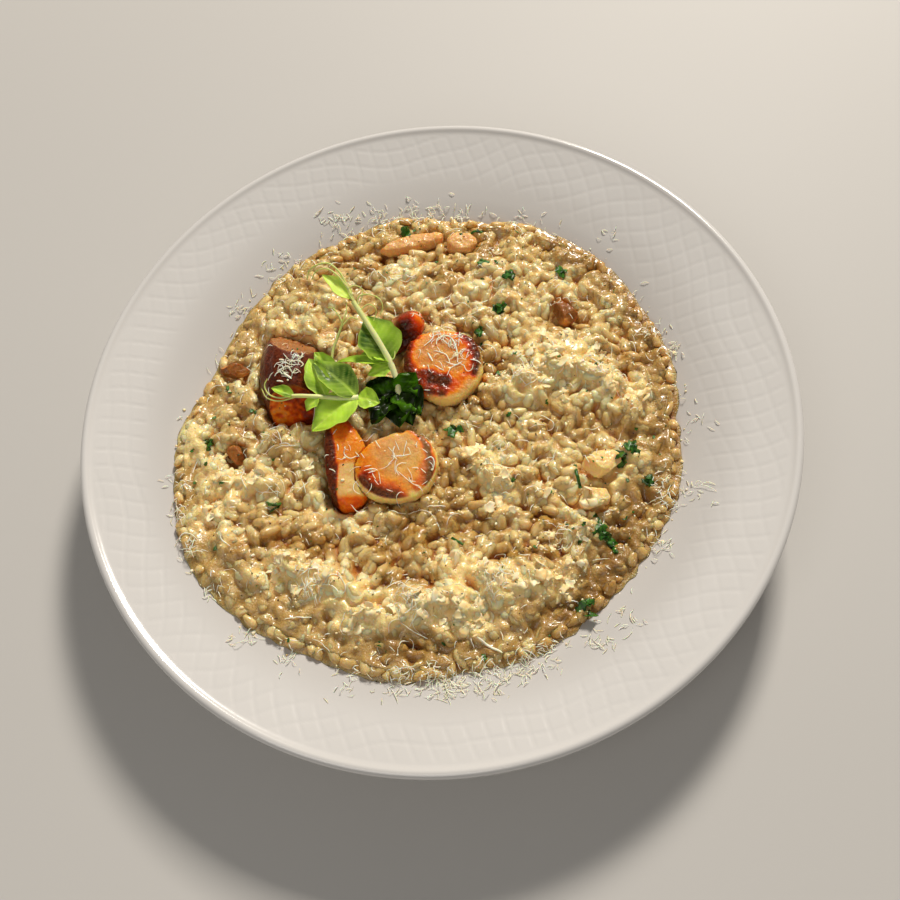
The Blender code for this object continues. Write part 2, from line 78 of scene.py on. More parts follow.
# The toppings that lie on or in the rice
SLICES = ("mushroom_slice_right", "mushroom_slice_front")
WEDGES = ("mushroom_wedge_back", "mushroom_wedge_front")
CHIPS = ("mushroom_chip_right", "mushroom_chip_left", "mushroom_chip_front_left")
PALE = ("mushroom_strip_back", "mushroom_strip_back_right", "mushroom_dice_right",
        "mushroom_dice_front_right")
TOPPINGS = ("mushroom_cap_wedge",) + SLICES + WEDGES + CHIPS + PALE

# Rice, in mm
GRID_HALF = 112.0
GRID_STEP = 0.5
GRAIN = (7.0, 4.25, 3.9)             # length, width and thickness of a cooked grain
GRAIN_SPREAD = (0.17, 0.1, 0.1)      # how much each varies, as a share
GRAIN_LIMITS = (0.62, 1.35)
GRAIN_SHORTFALL = 0.9                # a grain is laid where the bed is this much too low
GRAIN_OVERSHOOT = 1.1                # the most that a grain is pressed down to its ceiling
GRAIN_SEAT = 72                      # percentile of the levels under it that a grain sits on
TONE_SPREAD = (-0.25, 0.3)           # how much one grain is darker or lighter than others
RICE_DEPTH = 4.4                     # of loose grains over the core
WEDGE_LEFT = -44.7                   # rice heaped against the front wedge starts here
GRAIN_TRIES = 60000
FLANK_AMBER = 0.6                    # share of painted amber glow on the steep sides of a grain, as of light through them
WHOLE_RICE = dict(variants=12, around=9, along=8)
BURST_RICE = dict(variants=12, around=9, along=7)
CORE_SPOKES = 800
CORE_STEP = 0.76
CORE_LIP = 4.5                       # width over which the sauce thins to nothing
CORE_UNDER = (0.985, 0.93, 0.85, 0.75, 0.62, 0.4, 0.15)

# Crests, raised and painted lighter as though sunlit, and hollows, sunk and painted with shade:
# strength, width in mm, route in plan
CRESTS = (
    (0.9, 4.5, ((-84, -38), (-76, -38))),
    (0.8, 4.0, ((13, -32), (18, -33))),
    (0.7, 5.0, ((-99, 14), (-97, 2))),
    (1.0, 6.0, ((-76, -53), (-62, -52), (-53, -56))),
    (0.9, 5.0, ((-53, -61), (-49, -67))),
    (0.9, 5.5, ((-43, -77), (-38, -82))),
    (1.0, 6.0, ((-38, -69), (-28, -72))),
    (1.0, 8.0, ((-28, -75), (-12, -80), (0, -86))),
    (0.8, 4.0, ((-18, -61), (-3, -61))),
    (0.9, 6.0, ((3, -68), (16, -69))),
    (1.0, 6.5, ((16, -75), (30, -76), (37, -79))),
    (0.9, 4.0, ((44, -53), (55, -47))),
    (0.9, 4.5, ((53, -42), (63, -38))),
    (0.8, 3.5, ((68, -32), (75, -34))),
    (0.8, 4.0, ((10, -18), (16, -24), (22, -34))),
    (0.7, 3.6, ((22, -36), (20, -49), (12, -53))),
    (0.9, 4.5, ((76, 4), (79, -4), (81, -9))),
    (1.0, 5.0, ((47, 23), (56, 21))),
    (1.0, 6.0, ((36, 6), (48, 9), (62, 9))),
    (0.8, 4.0, ((66, 5), (72, 0))),
    (0.9, 4.0, ((-53, 0), (-51, -12), (-49, -22))),
    (0.9, 4.0, ((-48, -27), (-42, -34), (-36, -37))),
    (0.5, 5.0, ((-92, 8), (-91, -4))),
    (0.9, 4.5, ((-90, -14), (-84, -15), (-72, -17))),
    (0.6, 5.0, ((-97, -26), (-90, -26))),
    (0.4, 6.0, ((-56, 53), (-46, 46))),
    (0.4, 6.0, ((-12, 70), (6, 62))),
    (0.5, 5.0, ((8, 55), (24, 51))),
    (0.5, 4.0, ((60, 58), (63, 50))),
    (0.4, 4.0, ((50, 40), (55, 38))),
    (0.4, 4.0, ((32, 33), (38, 32))),
    (0.4, 4.0, ((78, 34), (82, 30))),
    (0.4, 5.0, ((-82, 36), (-72, 32))))
HOLLOWS = (
    (0.8, 5.5, ((3, -47), (16, -50))),
    (0.6, 5.0, ((-34, -91), (-6, -92))),
    (0.5, 5.0, ((20, -90), (36, -88))),
    (0.5, 6.0, ((60, 70), (76, 56), (88, 38), (91, 22))),
    (0.5, 6.0, ((-30, 80), (0, 86), (34, 78))),
    (0.6, 4.0, ((-84, 12), (-76, 10))),
    (0.9, 5.5, ((-29, -48), (-26, -56))),
    (0.9, 5.5, ((-17, -42), (-13, -53))),
    (0.9, 4.0, ((-27, -65), (-10, -66))),
    (0.9, 6.0, ((-78, -41), (-62, -42), (-50, -46))),
    (0.8, 6.5, ((4, -26), (0, -37), (-5, -44))),
    (0.7, 3.5, ((27, -35), (29, -38))),
    (1.0, 4.5, ((30, -48), (36, -52))),
    (1.0, 4.5, ((17, -62), (34, -64))),
    (0.5, 4.0, ((-33, -86), (-22, -92))),
    (0.5, 4.0, ((0, -95), (6, -97))),
    (0.9, 7.0, ((36, -86), (50, -78), (58, -66))),
    (0.7, 7.0, ((56, -60), (68, -52), (78, -42))),
    (0.5, 6.0, ((84, -30), (90, -10))),
    (0.5, 6.0, ((88, 8), (84, 20), (88, 34))),
    (0.7, 4.0, ((20, 30), (24, 22), (28, 15))),
    (0.7, 4.0, ((14, 4), (22, 2), (26, -6))),
    (0.8, 4.0, ((28, 76), (34, 74))),
    (0.9, 5.0, ((8, 64), (15, 62))),
    (0.9, 4.5, ((53, 32), (60, 28))),
    (0.7, 5.0, ((70, 15), (80, 8))),
    (0.5, 4.0, ((-48, 73), (-42, 72))),
    (0.5, 5.0, ((-64, -3), (-58, -8))),
    (0.7, 4.5, ((-80, 24), (-74, 17))),
    (0.5, 4.0, ((-78, -28), (-72, -30))),
    (0.6, 5.0, ((40, -16), (56, -14), (70, -20))),
    (0.4, 5.0, ((-24, 60), (-16, 74))),
    (0.5, 5.0, ((80, 60), (70, 72), (60, 78))))

# Chopped herb: place, size in mm
HERBS = (
    (1, 91, 2.0), (4, 91, 1.0), (30, 85, 1.0), (47, 80, 1.0), (11, 74, 1.0), (30, 66, 2.0),
    (36, 66, 1.0), (40, 57, 2.0), (29, 59, 1.0), (61, 56, 2.0), (9, 60, 1.0),
    (33, 43, 2.0), (23, 35, 2.0), (23, 29, 1.0), (35, 18, 1.0), (52, 14, 1.0),
    (28, 12, 1.0), (65, 7, 1.0), (28, -6, 1.0), (43, -3, 1.0), (6, -10, 2.6),
    (76, -19, 1.0), (82, -23, 1.0), (71, -28, 2.2), (66, -31, 2.6), (67, -42, 1.0),
    (75, -41, 2.0), (25, -33, 1.4), (37, -41, 1.2), (67, -53, 1.0), (63, -55, 1.0),
    (53, -59, 2.4), (55, -63, 2.0), (47, -57, 1.0), (44, -62, 1.3), (27, -62, 1.0),
    (41, -86, 2.6), (43, -84, 1.6), (2, -98, 1.0), (-11, -90, 1.0), (-82, 30, 1.0),
    (-81, 27, 1.0), (-72, 17, 1.0), (-88, 17, 1.0), (-91, 5, 2.0), (-97, 3, 1.0),
    (-91, -5, 1.0), (-96, -11, 1.0), (-86, -13, 1.0), (-65, -7, 1.0), (-66, -27, 2.0),
    (-91, -40, 1.0), (-66, -80, 1.0), (-34, -87, 1.0), (-23, 74, 1.0), (-70, 16, 1.0))
CHIVES = (                           # width, route in plan
    (1.3, ((49, -31), (48.6, -36), (49, -41))),
    (1.9, ((52, -52), (53.6, -58), (56.4, -64), (57, -68))),
    (1.0, ((-2, -52), (2, -55))),
    (1.2, ((41, -54), (43, -58))),
    (1.2, ((23, 83), (29, 85.6), (33, 85))))
HERB_DUST = 190
HERB_HALF = 0.07                     # half of a flake's thickness
PEPPER_COUNT = 330
STREWN_HALF = 100                    # half side of the square over which both are strewn

# Half-melted cheese on the crests: place, half sizes in mm
MELTED = (
    (-71, -53, 7, 4), (-62, -51, 6, 5), (-55, -55, 6, 3), (-60, -63, 3, 4), (-50, -61, 4, 4),
    (-40, -78, 6, 4), (-30, -75, 7, 3), (-20, -76, 7, 4), (-11, -78, 7, 5), (-2, -80, 6, 4),
    (-2, -87, 8, 4), (4, -83, 3, 6), (-9, -60, 8, 3), (9, -69, 6, 5), (17, -74, 6, 4),
    (28, -73, 6, 4), (34, -78, 5, 6), (40, -71, 5, 3), (12, -18, 5, 6), (19, -27, 5, 4),
    (20, -34, 4, 3), (19, -42, 5, 4), (50, -49, 6, 6), (44, -59, 4, 3), (34, -60, 4, 3),
    (78, -4, 6, 5), (-91, -25, 5, 5), (-84, -11, 4, 5), (-74, -13, 5, 3), (-51, -10, 6, 3),
    (40, 19, 5, 3), (48, 22, 4, 4), (53, 17, 5, 4), (57, 24, 4, 3), (55, 10, 6, 4),
    (46, 12, 4, 4), (49, 3, 5, 3), (38, 10, 4, 3), (66, 6, 5, 4), (70, -1, 5, 3),
    (66, 16, 4, 3), (31, 12, 4, 2), (-86, -1, 3, 2), (36, -38, 4, 3))
LUMP_SHARE = 0.2                     # lumps for each square mm of wide times deep
SHARD_SHARE = 0.13                   # torn flakes, likewise

# Grated cheese: place, spread in mm, number of threads
CHEESE_HEAPS = (
    (-29, -101, 6, 22), (-17, -104, 6, 30), (-8, -106, 6, 34), (3, -106, 6, 34),
    (14, -104, 6, 26), (25, -100, 6, 18), (44, -99, 5, 14), (53, -92, 6, 8),
    (80, -44, 5, 10), (81, -52, 4, 8), (90, -46, 6, 12), (74, -67, 5, 10),
    (92, 22, 5, 9), (99, 14, 5, 8), (-31, 102, 6, 12), (-22, 102, 6, 14),
    (-9, 101, 6, 14), (4, 100, 6, 14), (14, 100, 6, 12), (24, 96, 6, 10), (50, 89, 6, 8),
    (-73, 70, 5, 9), (-59, 82, 5, 9), (-50, 86, 6, 9), (-104, -8, 5, 9),
    (-104, -21, 5, 12), (-101, -37, 5, 11), (-93, -55, 5, 9), (-84, -75, 5, 8),
    (-68, -86, 5, 8), (-47, -99, 5, 10), (84, 70, 4, 5), (100, -20, 5, 6),
    (8, 24, 5, 3), (7, 31, 3, 8), (12, 27, 3, 12), (14, 21, 2, 6), (-16, -15, 4, 3),
    (-11, -26, 3, 3), (-26, -20, 5, 3), (-55, 25, 4, 16), (-50, 30, 2, 8), (-36, -12, 4, 2),
    (-55, -60, 6, 24), (-20, -73, 6, 26), (12, -73, 6, 24),
    (40, -62, 6, 18), (38, 12, 6, 20), (66, 6, 6, 16), (-66, 4, 6, 14),
    (-60, -20, 10, 14), (20, 48, 12, 14), (-10, 62, 12, 14))
CHEESE_CURLS = (                     # width, route in plan
    (0.53, ((0, 27), (4, 30), (4.5, 34), (3, 36))),
    (0.73, ((5, 27), (6, 29.5), (10, 30), (12, 27), (12.5, 22), (12, 18))),
    (0.59, ((-1, 34.5), (4, 34), (8, 33.5), (10, 33))),
    (0.46, ((13, 33), (15, 32), (14.5, 29), (13.5, 25))),
    (0.86, ((1, 24), (2.4, 20))),
    (0.59, ((5, 24), (8, 22), (9, 18.6))),
    (0.59, ((7.5, 19), (11, 17), (14, 18))),
    (0.46, ((7, 13), (9, 16), (12, 17))),
    (0.4, ((14, 17), (15, 13.6), (17, 14), (18, 16.4))),
    (0.53, ((17, 18.4), (19.6, 17.4), (21, 16))),
    (0.46, ((-36, -10), (-37, -13), (-35, -15), (-32, -14))),
    (0.92, ((-57, 30), (-55, 29))),
    (0.66, ((-54, 28.6), (-51, 28))),
    (0.79, ((-58, 25), (-54, 26), (-53, 24))),
    (0.99, ((-56, 23.6), (-53, 20.6))),
    (0.73, ((-59, 21.2), (-56.4, 20))),
    (0.66, ((-50, 29), (-48, 27), (-49, 25.6))),
    (0.4, ((-20, -13), (-18, -17), (-21, -20))),
    (0.33, ((-17, -11), (-16, -15))),
    (0.53, ((-29, -22), (-26, -21.6))),
    (0.33, ((-25, -27), (-25, -22))),
    (0.33, ((-18, -23), (-13, -29), (-10, -31))),
    (0.53, ((-7, -20.6), (-4.4, -19.8), (-3.6, -22), (-4.6, -25))),
    (0.99, ((1, -91), (5, -94.6), (9, -98))),
    (0.53, ((-70, 15), (-72, 11), (-69, 8.6))),
    (0.59, ((-78, 8), (-75, 5), (-71, 4))),
    (0.46, ((-6.5, -44), (-5, -49), (-2, -52))),
    (0.53, ((32, -39.6), (36, -38.2), (40, -39.6))),
    (0.53, ((14, -25), (19, -27), (26, -28), (24, -31))),
    (0.46, ((-77, -7), (-78, -13), (-76, -19))),
    (0.46, ((-52, -63), (-46, -60), (-43, -66), (-48, -69))),
    (0.59, ((-54, -61), (-48, -64), (-45, -68))),
    (0.4, ((22, 29), (26, 26), (28, 22), (25, 20))),
    (0.4, ((-24, -36), (-18, -38), (-12, -37))))
CHEESE_LOOSE = 480
CRUMB_COUNT = 1500
CHEESE_HALF = 104                    # half side of the square over which it is strewn
HEAP_FILL = 1.7                      # threads made for each one that a heap counts
THREAD_WIDTH = 0.46
THREAD_STEP = 0.9

# Browning of the two slices: strength, width in mm, route in plan
SEARED_RIGHT = (
    (0.14, 14.0, ((0, 22), (10, 24))),
    # the wide dark band along the left edge is partly sear and partly painted shadow of the
    # back wedge
    (0.96, 3.8, ((-8.6, 16), (-8.8, 24), (-7.0, 31), (-4.0, 34))),
    (0.60, 1.8, ((-8, 16.5), (-4, 15.6), (0, 15.4))),
    (0.98, 3.6, ((0.5, 12.6), (3.4, 11.8), (5.6, 11.0))),
    (0.70, 1.6, ((-4.5, 13), (-3.5, 9.6), (0, 7.2), (4, 6.0))),
    (0.36, 2.6, ((3, 6.4), (8, 6.6), (12, 9.6), (14.5, 13))),
    (0.94, 2.8, ((17.4, 31), (20.0, 27), (21.2, 21), (20.8, 16), (19.0, 12.6))),
    (0.36, 3.0, ((15.5, 29), (17.6, 24), (17.6, 17))),
    (0.62, 1.7, ((-4, 34), (2, 35), (9, 34.4), (15, 32.4))))
SEARED_FRONT = (
    (0.10, 14.0, ((-20, -16), (-12, -20))),
    (0.92, 1.3, ((-15.2, -5.4), (-13.4, -7.4), (-11.8, -5.8))),
    (0.30, 4.4, ((-31, -10), (-32.0, -15), (-31.0, -21))),
    (0.10, 3.6, ((-27, -9), (-27, -15), (-26, -20))),
    (0.60, 0.9, ((-31, -8.6), (-26, -6.0), (-20, -4.9))),
    (0.92, 2.5, ((-32.6, -24.4), (-28.5, -28.5), (-23.5, -31.4), (-20.5, -32.8))),
    (0.36, 3.6, ((-29, -23), (-24.5, -26.6), (-19.5, -29.4))),
    (0.45, 1.8, ((-19, -32.6), (-16, -33.2))),
    (0.94, 1.7, ((-11.4, -6.0), (-8.2, -8.8), (-6.2, -13), (-5.0, -18.4))),
    (0.94, 1.8, ((-4.9, -21.4), (-5.6, -26), (-7.4, -29.2))),
    (0.34, 2.4, ((-8, -23), (-9, -27), (-12, -30.6))),
    (0.18, 5.0, ((-15, -24), (-10, -27))))

# Pea shoots, as the frame has them, in mm
TALL_STEM = ((-12.7, 8.6, 34.6), (-12.9, 15.0, 38.4), (-14.0, 20.6, 41.2),
             (-16.2, 26.6, 44.3), (-19.3, 33.6, 47.5), (-22.3, 40.4, 50.1),
             (-24.3, 45.0, 51.5))
TALL_TENDRILS = (                    # radius at base and tip, route
    (0.60, 0.20, ((-23.6, 43.4, 50.9), (-25.9, 51.8, 54.0), (-27.7, 56.2, 56.5),
                  (-31.2, 60.0, 57.8), (-35.2, 60.8, 57.3), (-39.3, 60.5, 55.0),
                  (-41.1, 58.3, 51.8))),
    (0.45, 0.20, ((-25.2, 49.6, 53.1), (-28.3, 54.6, 56.0), (-32.2, 58.3, 57.0),
                  (-36.6, 59.0, 55.6), (-39.2, 57.6, 52.6))),
    (0.30, 0.22, ((-23.2, 42.6, 50.7), (-21.6, 45.6, 53.0), (-17.6, 45.4, 53.6),
                  (-14.0, 43.4, 52.4), (-13.2, 40.4, 50.6), (-15.0, 38.2, 48.8))),
    (0.28, 0.20, ((-24.0, 44.0, 51.3), (-25.4, 48.4, 54.2), (-22.8, 49.6, 55.2),
                  (-20.0, 48.0, 54.2), (-20.6, 45.0, 52.8), (-22.6, 42.9, 51.2))),
    (0.28, 0.20, ((-22.4, 40.9, 50.2), (-18.4, 42.0, 52.0), (-15.9, 40.0, 50.2),
                  (-17.6, 36.8, 47.8))),
    (0.30, 0.20, ((-14.2, 21.4, 41.6), (-12.2, 21.6, 42.6), (-11.4, 24.4, 43.0))))
TALL_LEAVES = (                      # base, tip, width, cup, arch, roll, freshness
    ((-24.7, 46.0, 51.6), (-34.6, 57.2, 55.4), 6.2, 0.8, 0.4, 10, 1.9),
    ((-14.6, 21.4, 40.6), (-20.2, 41.0, 45.4), 17.0, 1.8, 2.0, 6, 0.18),
    ((-14.2, 20.4, 40.8), (-25.4, 27.6, 39.4), 7.6, 1.2, 1.0, -10, 0.8),
    ((-14.0, 20.0, 40.6), (-34.6, 24.6, 42.0), 4.6, 1.2, 1.4, 18, 0.9),
    ((-14.0, 19.6, 40.4), (-23.6, 17.4, 40.2), 5.4, 1.0, 0.8, -22, 1.0),
    ((-14.0, 20.8, 41.0), (-22.2, 24.6, 43.0), 4.4, 1.0, 0.6, 26, 0.9))
WILTED_LEAVES = (
    ((-12.9, 9.6, 35.2), (-4.8, 15.2, 40.0), 10.5, 1.8, 1.0, 30, 0.75),
    ((-13.0, 11.0, 34.8), (-5.4, -1.6, 36.2), 13.0, 1.8, 1.4, -8, 0.1),
    ((-13.1, 10.8, 34.5), (-9.4, -5.0, 35.6), 12.5, 1.4, 1.0, 4, -0.1),
    ((-13.2, 11.0, 34.4), (-14.6, -5.4, 36.0), 13.5, 1.6, 1.2, 6, -0.1),
    ((-13.2, 11.0, 34.8), (-25.4, -0.6, 34.6), 13.0, 1.6, 1.2, 12, 0.05),
    ((-13.0, 10.6, 35.4), (-25.2, 15.2, 36.6), 9.5, 1.4, 1.0, -14, 0.1))
SIDE_STEM = ((-28.4, 9.2, 38.8), (-32.4, 9.2, 39.4), (-38.4, 9.9, 40.8),
             (-43.6, 10.6, 42.4), (-48.8, 11.2, 43.8), (-53.4, 11.8, 44.4))
SIDE_TENDRILS = (
    (0.80, 0.45, ((-33.0, 9.2, 39.5), (-35.4, 16.6, 40.6), (-36.6, 24.0, 41.8),
                  (-35.6, 28.6, 43.4), (-33.6, 32.0, 45.2), (-31.1, 35.6, 47.4),
                  (-29.2, 38.8, 49.4))),
    (0.34, 0.20, ((-29.8, 37.6, 48.6), (-30.9, 40.8, 50.4), (-32.4, 43.4, 51.2),
                  (-34.4, 44.6, 50.6))),
    (0.34, 0.20, ((-30.2, 36.9, 48.2), (-27.6, 41.4, 50.4), (-27.0, 44.6, 51.4))),
    (0.30, 0.20, ((-30.5, 36.4, 47.9), (-26.4, 38.6, 50.0), (-23.6, 37.0, 50.6))),
    (0.42, 0.20, ((-52.2, 11.7, 44.2), (-58.2, 11.8, 44.6), (-62.0, 13.9, 45.0),
                  (-63.2, 17.3, 46.0), (-61.6, 19.6, 47.2))),
    (0.36, 0.20, ((-51.0, 11.4, 44.0), (-58.2, 10.8, 43.9), (-63.0, 12.9, 44.2),
                  (-64.6, 16.8, 45.2))))
SIDE_LEAVES = (
    ((-29.0, 9.6, 39.0), (-44.0, 25.6, 43.6), 13.0, 1.6, 1.8, 10, 0.12),
    ((-40.6, 10.4, 41.4), (-45.4, 28.4, 42.2), 9.4, 1.2, 1.4, -6, 0.55),
    ((-35.9, 20.0, 41.2), (-43.0, 30.4, 42.8), 6.6, 1.0, 0.8, -12, 0.6),
    ((-29.0, 9.0, 38.9), (-48.2, -1.2, 37.2), 14.4, 1.8, 2.0, 4, 0.85),
    ((-28.8, 9.2, 38.9), (-20.4, 5.2, 38.8), 8.4, 1.4, 0.8, 8, 0.75),
    ((-52.6, 11.7, 44.4), (-60.8, 16.2, 45.4), 4.2, 1.2, 0.6, 0, 0.6),
    ((-43.4, 10.6, 42.4), (-49.0, 6.4, 40.4), 5.0, 0.8, 0.8, 0, 1.0))
STEM_RADII = {"tall": (1.3, 1.0), "side": (1.05, 0.75)}
TUBE_STEP = 0.5
LEAF_HALF = 0.13                     # half of a leaf's thickness

# Camera, lamps and floor: angles in degrees, lengths in metres, power in watts
CAMERA_ELEVATION = 64.61
CAMERA_ROLL = -9.93
CAMERA_DISTANCE = 0.442
CAMERA_LENS = 46.44
CAMERA_AIM = (0.0031, -0.0186, PLATE_HEIGHT * MM)
WINDOW_LIGHT = dict(azimuth=26, elevation=39, distance=2.2, size=0.4, power=56.0,
                    colour=(1.0, 0.94, 0.85))
FILL_LIGHT = dict(azimuth=-150, elevation=50, distance=0.9, size=0.6, power=1.9,
                  colour=(1.0, 0.97, 0.92))
ROOM_COLOUR = (1, 0.97, 0.92, 1)
ROOM_STRENGTH = 0.14
FLOOR_HALF = 3.0


# ------------------------------------------------------------------ meshes

def new_piece(name, points, face_sets, material, slot, **shares):
    """A smooth piece from points in mm; shares are named values at its points."""
    corners = np.concatenate([faces.ravel() for faces in face_sets])
    sizes = np.concatenate([np.full(len(faces), faces.shape[1]) for faces in face_sets])
    mesh = bpy.data.meshes.new(name)
    mesh.vertices.add(len(points))
    mesh.vertices.foreach_set("co", (np.asarray(points) * MM).astype(np.float32).ravel())
    mesh.loops.add(len(corners))
    mesh.loops.foreach_set("vertex_index", corners.astype(np.int32))
    mesh.polygons.add(len(sizes))
    mesh.polygons.foreach_set("loop_start", (np.cumsum(sizes) - sizes).astype(np.int32))
    mesh.update(calc_edges=True)
    mesh.shade_smooth()
    piece = bpy.data.objects.new(name, mesh)
    bpy.context.scene.collection.objects.link(piece)
    dress(piece, material, slot, **shares)
    return piece


def dress(piece, material, slot, **shares):
    """Gives a piece its material and named values at its points; its slot is not used."""
    piece.data.materials.clear()
    piece.data.materials.append(material)
    for name, values in shares.items():
        attribute = piece.data.attributes.new(name, "FLOAT", "POINT")
        attribute.data.foreach_set("value", np.asarray(values, np.float32))
    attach(piece, "root")


def rows(*columns):
    return np.stack([np.ravel(column) for column in columns], axis=1)


def band(inner, outer, count):
    """Faces between two closed rings of as many points; inner and outer are starts."""
    at = np.arange(count)
    after = (at + 1) % count
    return rows(inner + at, outer + at, outer + after, inner + after)


def widening_band(coarse, fine, count, ratio, fine_outside):
    """Triangles between a ring of count points and one of ratio times as many."""
    corner = np.repeat(np.arange(count), ratio)
    step = np.arange(count * ratio)
    half = (step % ratio) >= ratio / 2
    apex = coarse + (corner + half) % count
    after = (step + 1) % (count * ratio)
    fans = rows(apex, fine + step, fine + after)
    at = np.arange(count)
    middle = fine + at * ratio + math.ceil(ratio / 2)
    joins = rows(coarse + at, middle, coarse + (at + 1) % count)
    faces = np.concatenate([fans, joins])
    return faces if fine_outside else faces[:, ::-1]


def turned_faces(counts):
    """Face sets over a stack of closed rings, and the ring starts."""
    starts = np.concatenate([[0], np.cumsum(counts)[:-1]])
    quads, triangles = [], []
    for here, there, count, following in zip(starts, starts[1:], counts, counts[1:]):
        if count == following:
            quads.append(band(here, there, count))
        elif following > count:
            triangles.append(widening_band(here, there, count, following // count, True))
        else:
            triangles.append(widening_band(there, here, following, count // following,
                                           False))
    return quads, triangles, starts


def closing_fan(middle, start, count, outwards):
    at = start + np.arange(count)
    after = start + (np.arange(count) + 1) % count
    fan = rows(np.full(count, middle), at, after)
    return fan if outwards else fan[:, ::-1]


def copied_faces(face_sets, copies, count):
    """Face sets of so many copies in a row of a shape of count points."""
    shifts = (np.arange(copies) * count)[:, None, None]
    return [(faces[None] + shifts).reshape(-1, faces.shape[1]) for faces in face_sets]


def flake_faces(start, around, rings):
    """Quads and triangles of a two-sided flake whose sides meet at their outer rings."""
    count = 1 + rings * around
    quads, triangles = [], []
    for middle, upwards in ((start, True), (start + count, False)):
        triangles.append(closing_fan(middle, middle + 1, around, upwards))
        for ring in range(rings - 1):
            inner = middle + 1 + ring * around
            faces = band(inner, inner + around, around)
            quads.append(faces if upwards else faces[:, ::-1])
    quads.append(band(start + count - around, start + 2 * count - around, around))
    return quads, triangles


def smoothstep(value, low=0.0, high=1.0):
    value = np.clip((value - low) / (high - low), 0, 1)
    return value * value * (3 - 2 * value)


def bump(value, width):
    return np.exp(-(value / width) ** 2)


def ripple(x, y, size, seed):
    """Smooth noise about -1 to 1 over the plate, from a few turned waves."""
    rng = np.random.default_rng(seed)
    total = np.zeros(np.broadcast(x, y).shape)
    waves = 7
    for _ in range(waves):
        turn = rng.uniform(0, 2 * math.pi)
        length = size * rng.uniform(0.7, 1.5)
        across = x * math.cos(turn) + y * math.sin(turn)
        total += np.sin(2 * math.pi * across / length + rng.uniform(0, 2 * math.pi))
    return total / math.sqrt(waves)


def knobbly(points, size, seed=0.0):
    """Perlin noise at each point, in mm."""
    shift = Vector((seed, seed * 2, seed * 3))
    return np.array([noise.noise(Vector(point) / size + shift) for point in points])


# ------------------------------------------------------------------ materials

def srgb(red, green, blue):
    """A linear colour from a colour as it is seen, 0 to 255."""
    def linear(channel):
        channel /= 255
        return channel / 12.92 if channel <= 0.04045 else ((channel + 0.055) / 1.055) ** 2.4
    return linear(red), linear(green), linear(blue), 1.0


MIX_FIRST, MIX_SECOND, MIX_RESULT = 6, 7, 2     # colour sockets of a Mix node


class Finish:
    """A Principled material and the nodes that feed it."""

    def __init__(self, name, constants):
        self.material = bpy.data.materials.new(name)
        self.material.use_nodes = True
        self.tree = self.material.node_tree
        self.shader = self.tree.nodes["Principled BSDF"]
        for socket, value in constants.items():
            self.shader.inputs[socket].default_value = value

    def put(self, socket, value):
        """Links an output to an input socket, or sets the socket's own value."""
        if isinstance(value, bpy.types.NodeSocket):
            self.tree.links.new(value, socket)
        else:
            socket.default_value = value

    def feed(self, socket, value):
        self.put(self.shader.inputs[socket], value)

    def share(self, name):
        node = self.tree.nodes.new("ShaderNodeAttribute")
        node.attribute_name = name
        return node.outputs["Fac"]

    def effect(self, group, output, **values):
        node = self.tree.nodes.new("ShaderNodeGroup")
        node.node_tree = group
        for name, value in values.items():
            self.put(node.inputs[name], value)
        return node.outputs[output]

    def mix(self, factor, first, second, blend="MIX"):
        node = self.tree.nodes.new("ShaderNodeMix")
        node.data_type = "RGBA"
        node.blend_type = blend
        self.put(node.inputs["Factor"], factor)
        self.put(node.inputs[MIX_FIRST], first)
        self.put(node.inputs[MIX_SECOND], second)
        return node.outputs[MIX_RESULT]

    def math(self, operation, first, second=0.0):
        node = self.tree.nodes.new("ShaderNodeMath")
        node.operation = operation
        node.use_clamp = True
        self.put(node.inputs[0], first)
        self.put(node.inputs[1], second)
        return node.outputs[0]

    def span(self, value, low, high, start=0.0, end=1.0):
        node = self.tree.nodes.new("ShaderNodeMapRange")
        self.put(node.inputs["Value"], value)
        for name, number in (("From Min", low), ("From Max", high), ("To Min", start),
                             ("To Max", end)):
            node.inputs[name].default_value = number
        return node.outputs["Result"]

    def ramp(self, value, *stops):
        """A colour for each level of a value; stops are (level, colour)."""
        node = self.tree.nodes.new("ShaderNodeValToRGB")
        elements = node.color_ramp.elements
        for element, (level, colour) in zip(elements, stops):
            element.position, element.color = level, colour
        for level, colour in stops[2:]:
            elements.new(level).color = colour
        self.put(node.inputs["Fac"], value)
        return node.outputs["Color"]


def new_effect(name, inputs, output, kind):
    """An empty shader node group with named number inputs and one output."""
    group = bpy.data.node_groups.new(name, "ShaderNodeTree")
    for socket, default in inputs.items():
        added = group.interface.new_socket(socket, in_out="INPUT",
                                           socket_type="NodeSocketFloat")
        added.default_value = default
    group.interface.new_socket(output, in_out="OUTPUT", socket_type=kind)
    return group, group.nodes.new("NodeGroupInput"), group.nodes.new("NodeGroupOutput")


def mottling_effect():
    """Cloudy patches from 0 to 1; Size is in patches for each metre."""
    group, given, result = new_effect("mottling", {"Size": 150.0, "Contrast": 1.0},
                                      "Mask", "NodeSocketFloat")
    place = group.nodes.new("ShaderNodeTexCoord")
    cloud = group.nodes.new("ShaderNodeTexNoise")
    cloud.inputs["Detail"].default_value = 2
    shifted = group.nodes.new("ShaderNodeMath")
    shifted.operation = "SUBTRACT"
    shifted.inputs[1].default_value = 0.5
    stretched = group.nodes.new("ShaderNodeMath")
    stretched.operation = "MULTIPLY_ADD"
    stretched.use_clamp = True
    stretched.inputs[2].default_value = 0.5
    group.links.new(place.outputs["Object"], cloud.inputs["Vector"])
    group.links.new(given.outputs["Size"], cloud.inputs["Scale"])
    group.links.new(cloud.outputs["Fac"], shifted.inputs[0])
    group.links.new(shifted.outputs[0], stretched.inputs[0])
    group.links.new(given.outputs["Contrast"], stretched.inputs[1])
    group.links.new(stretched.outputs[0], result.inputs["Mask"])
    return group


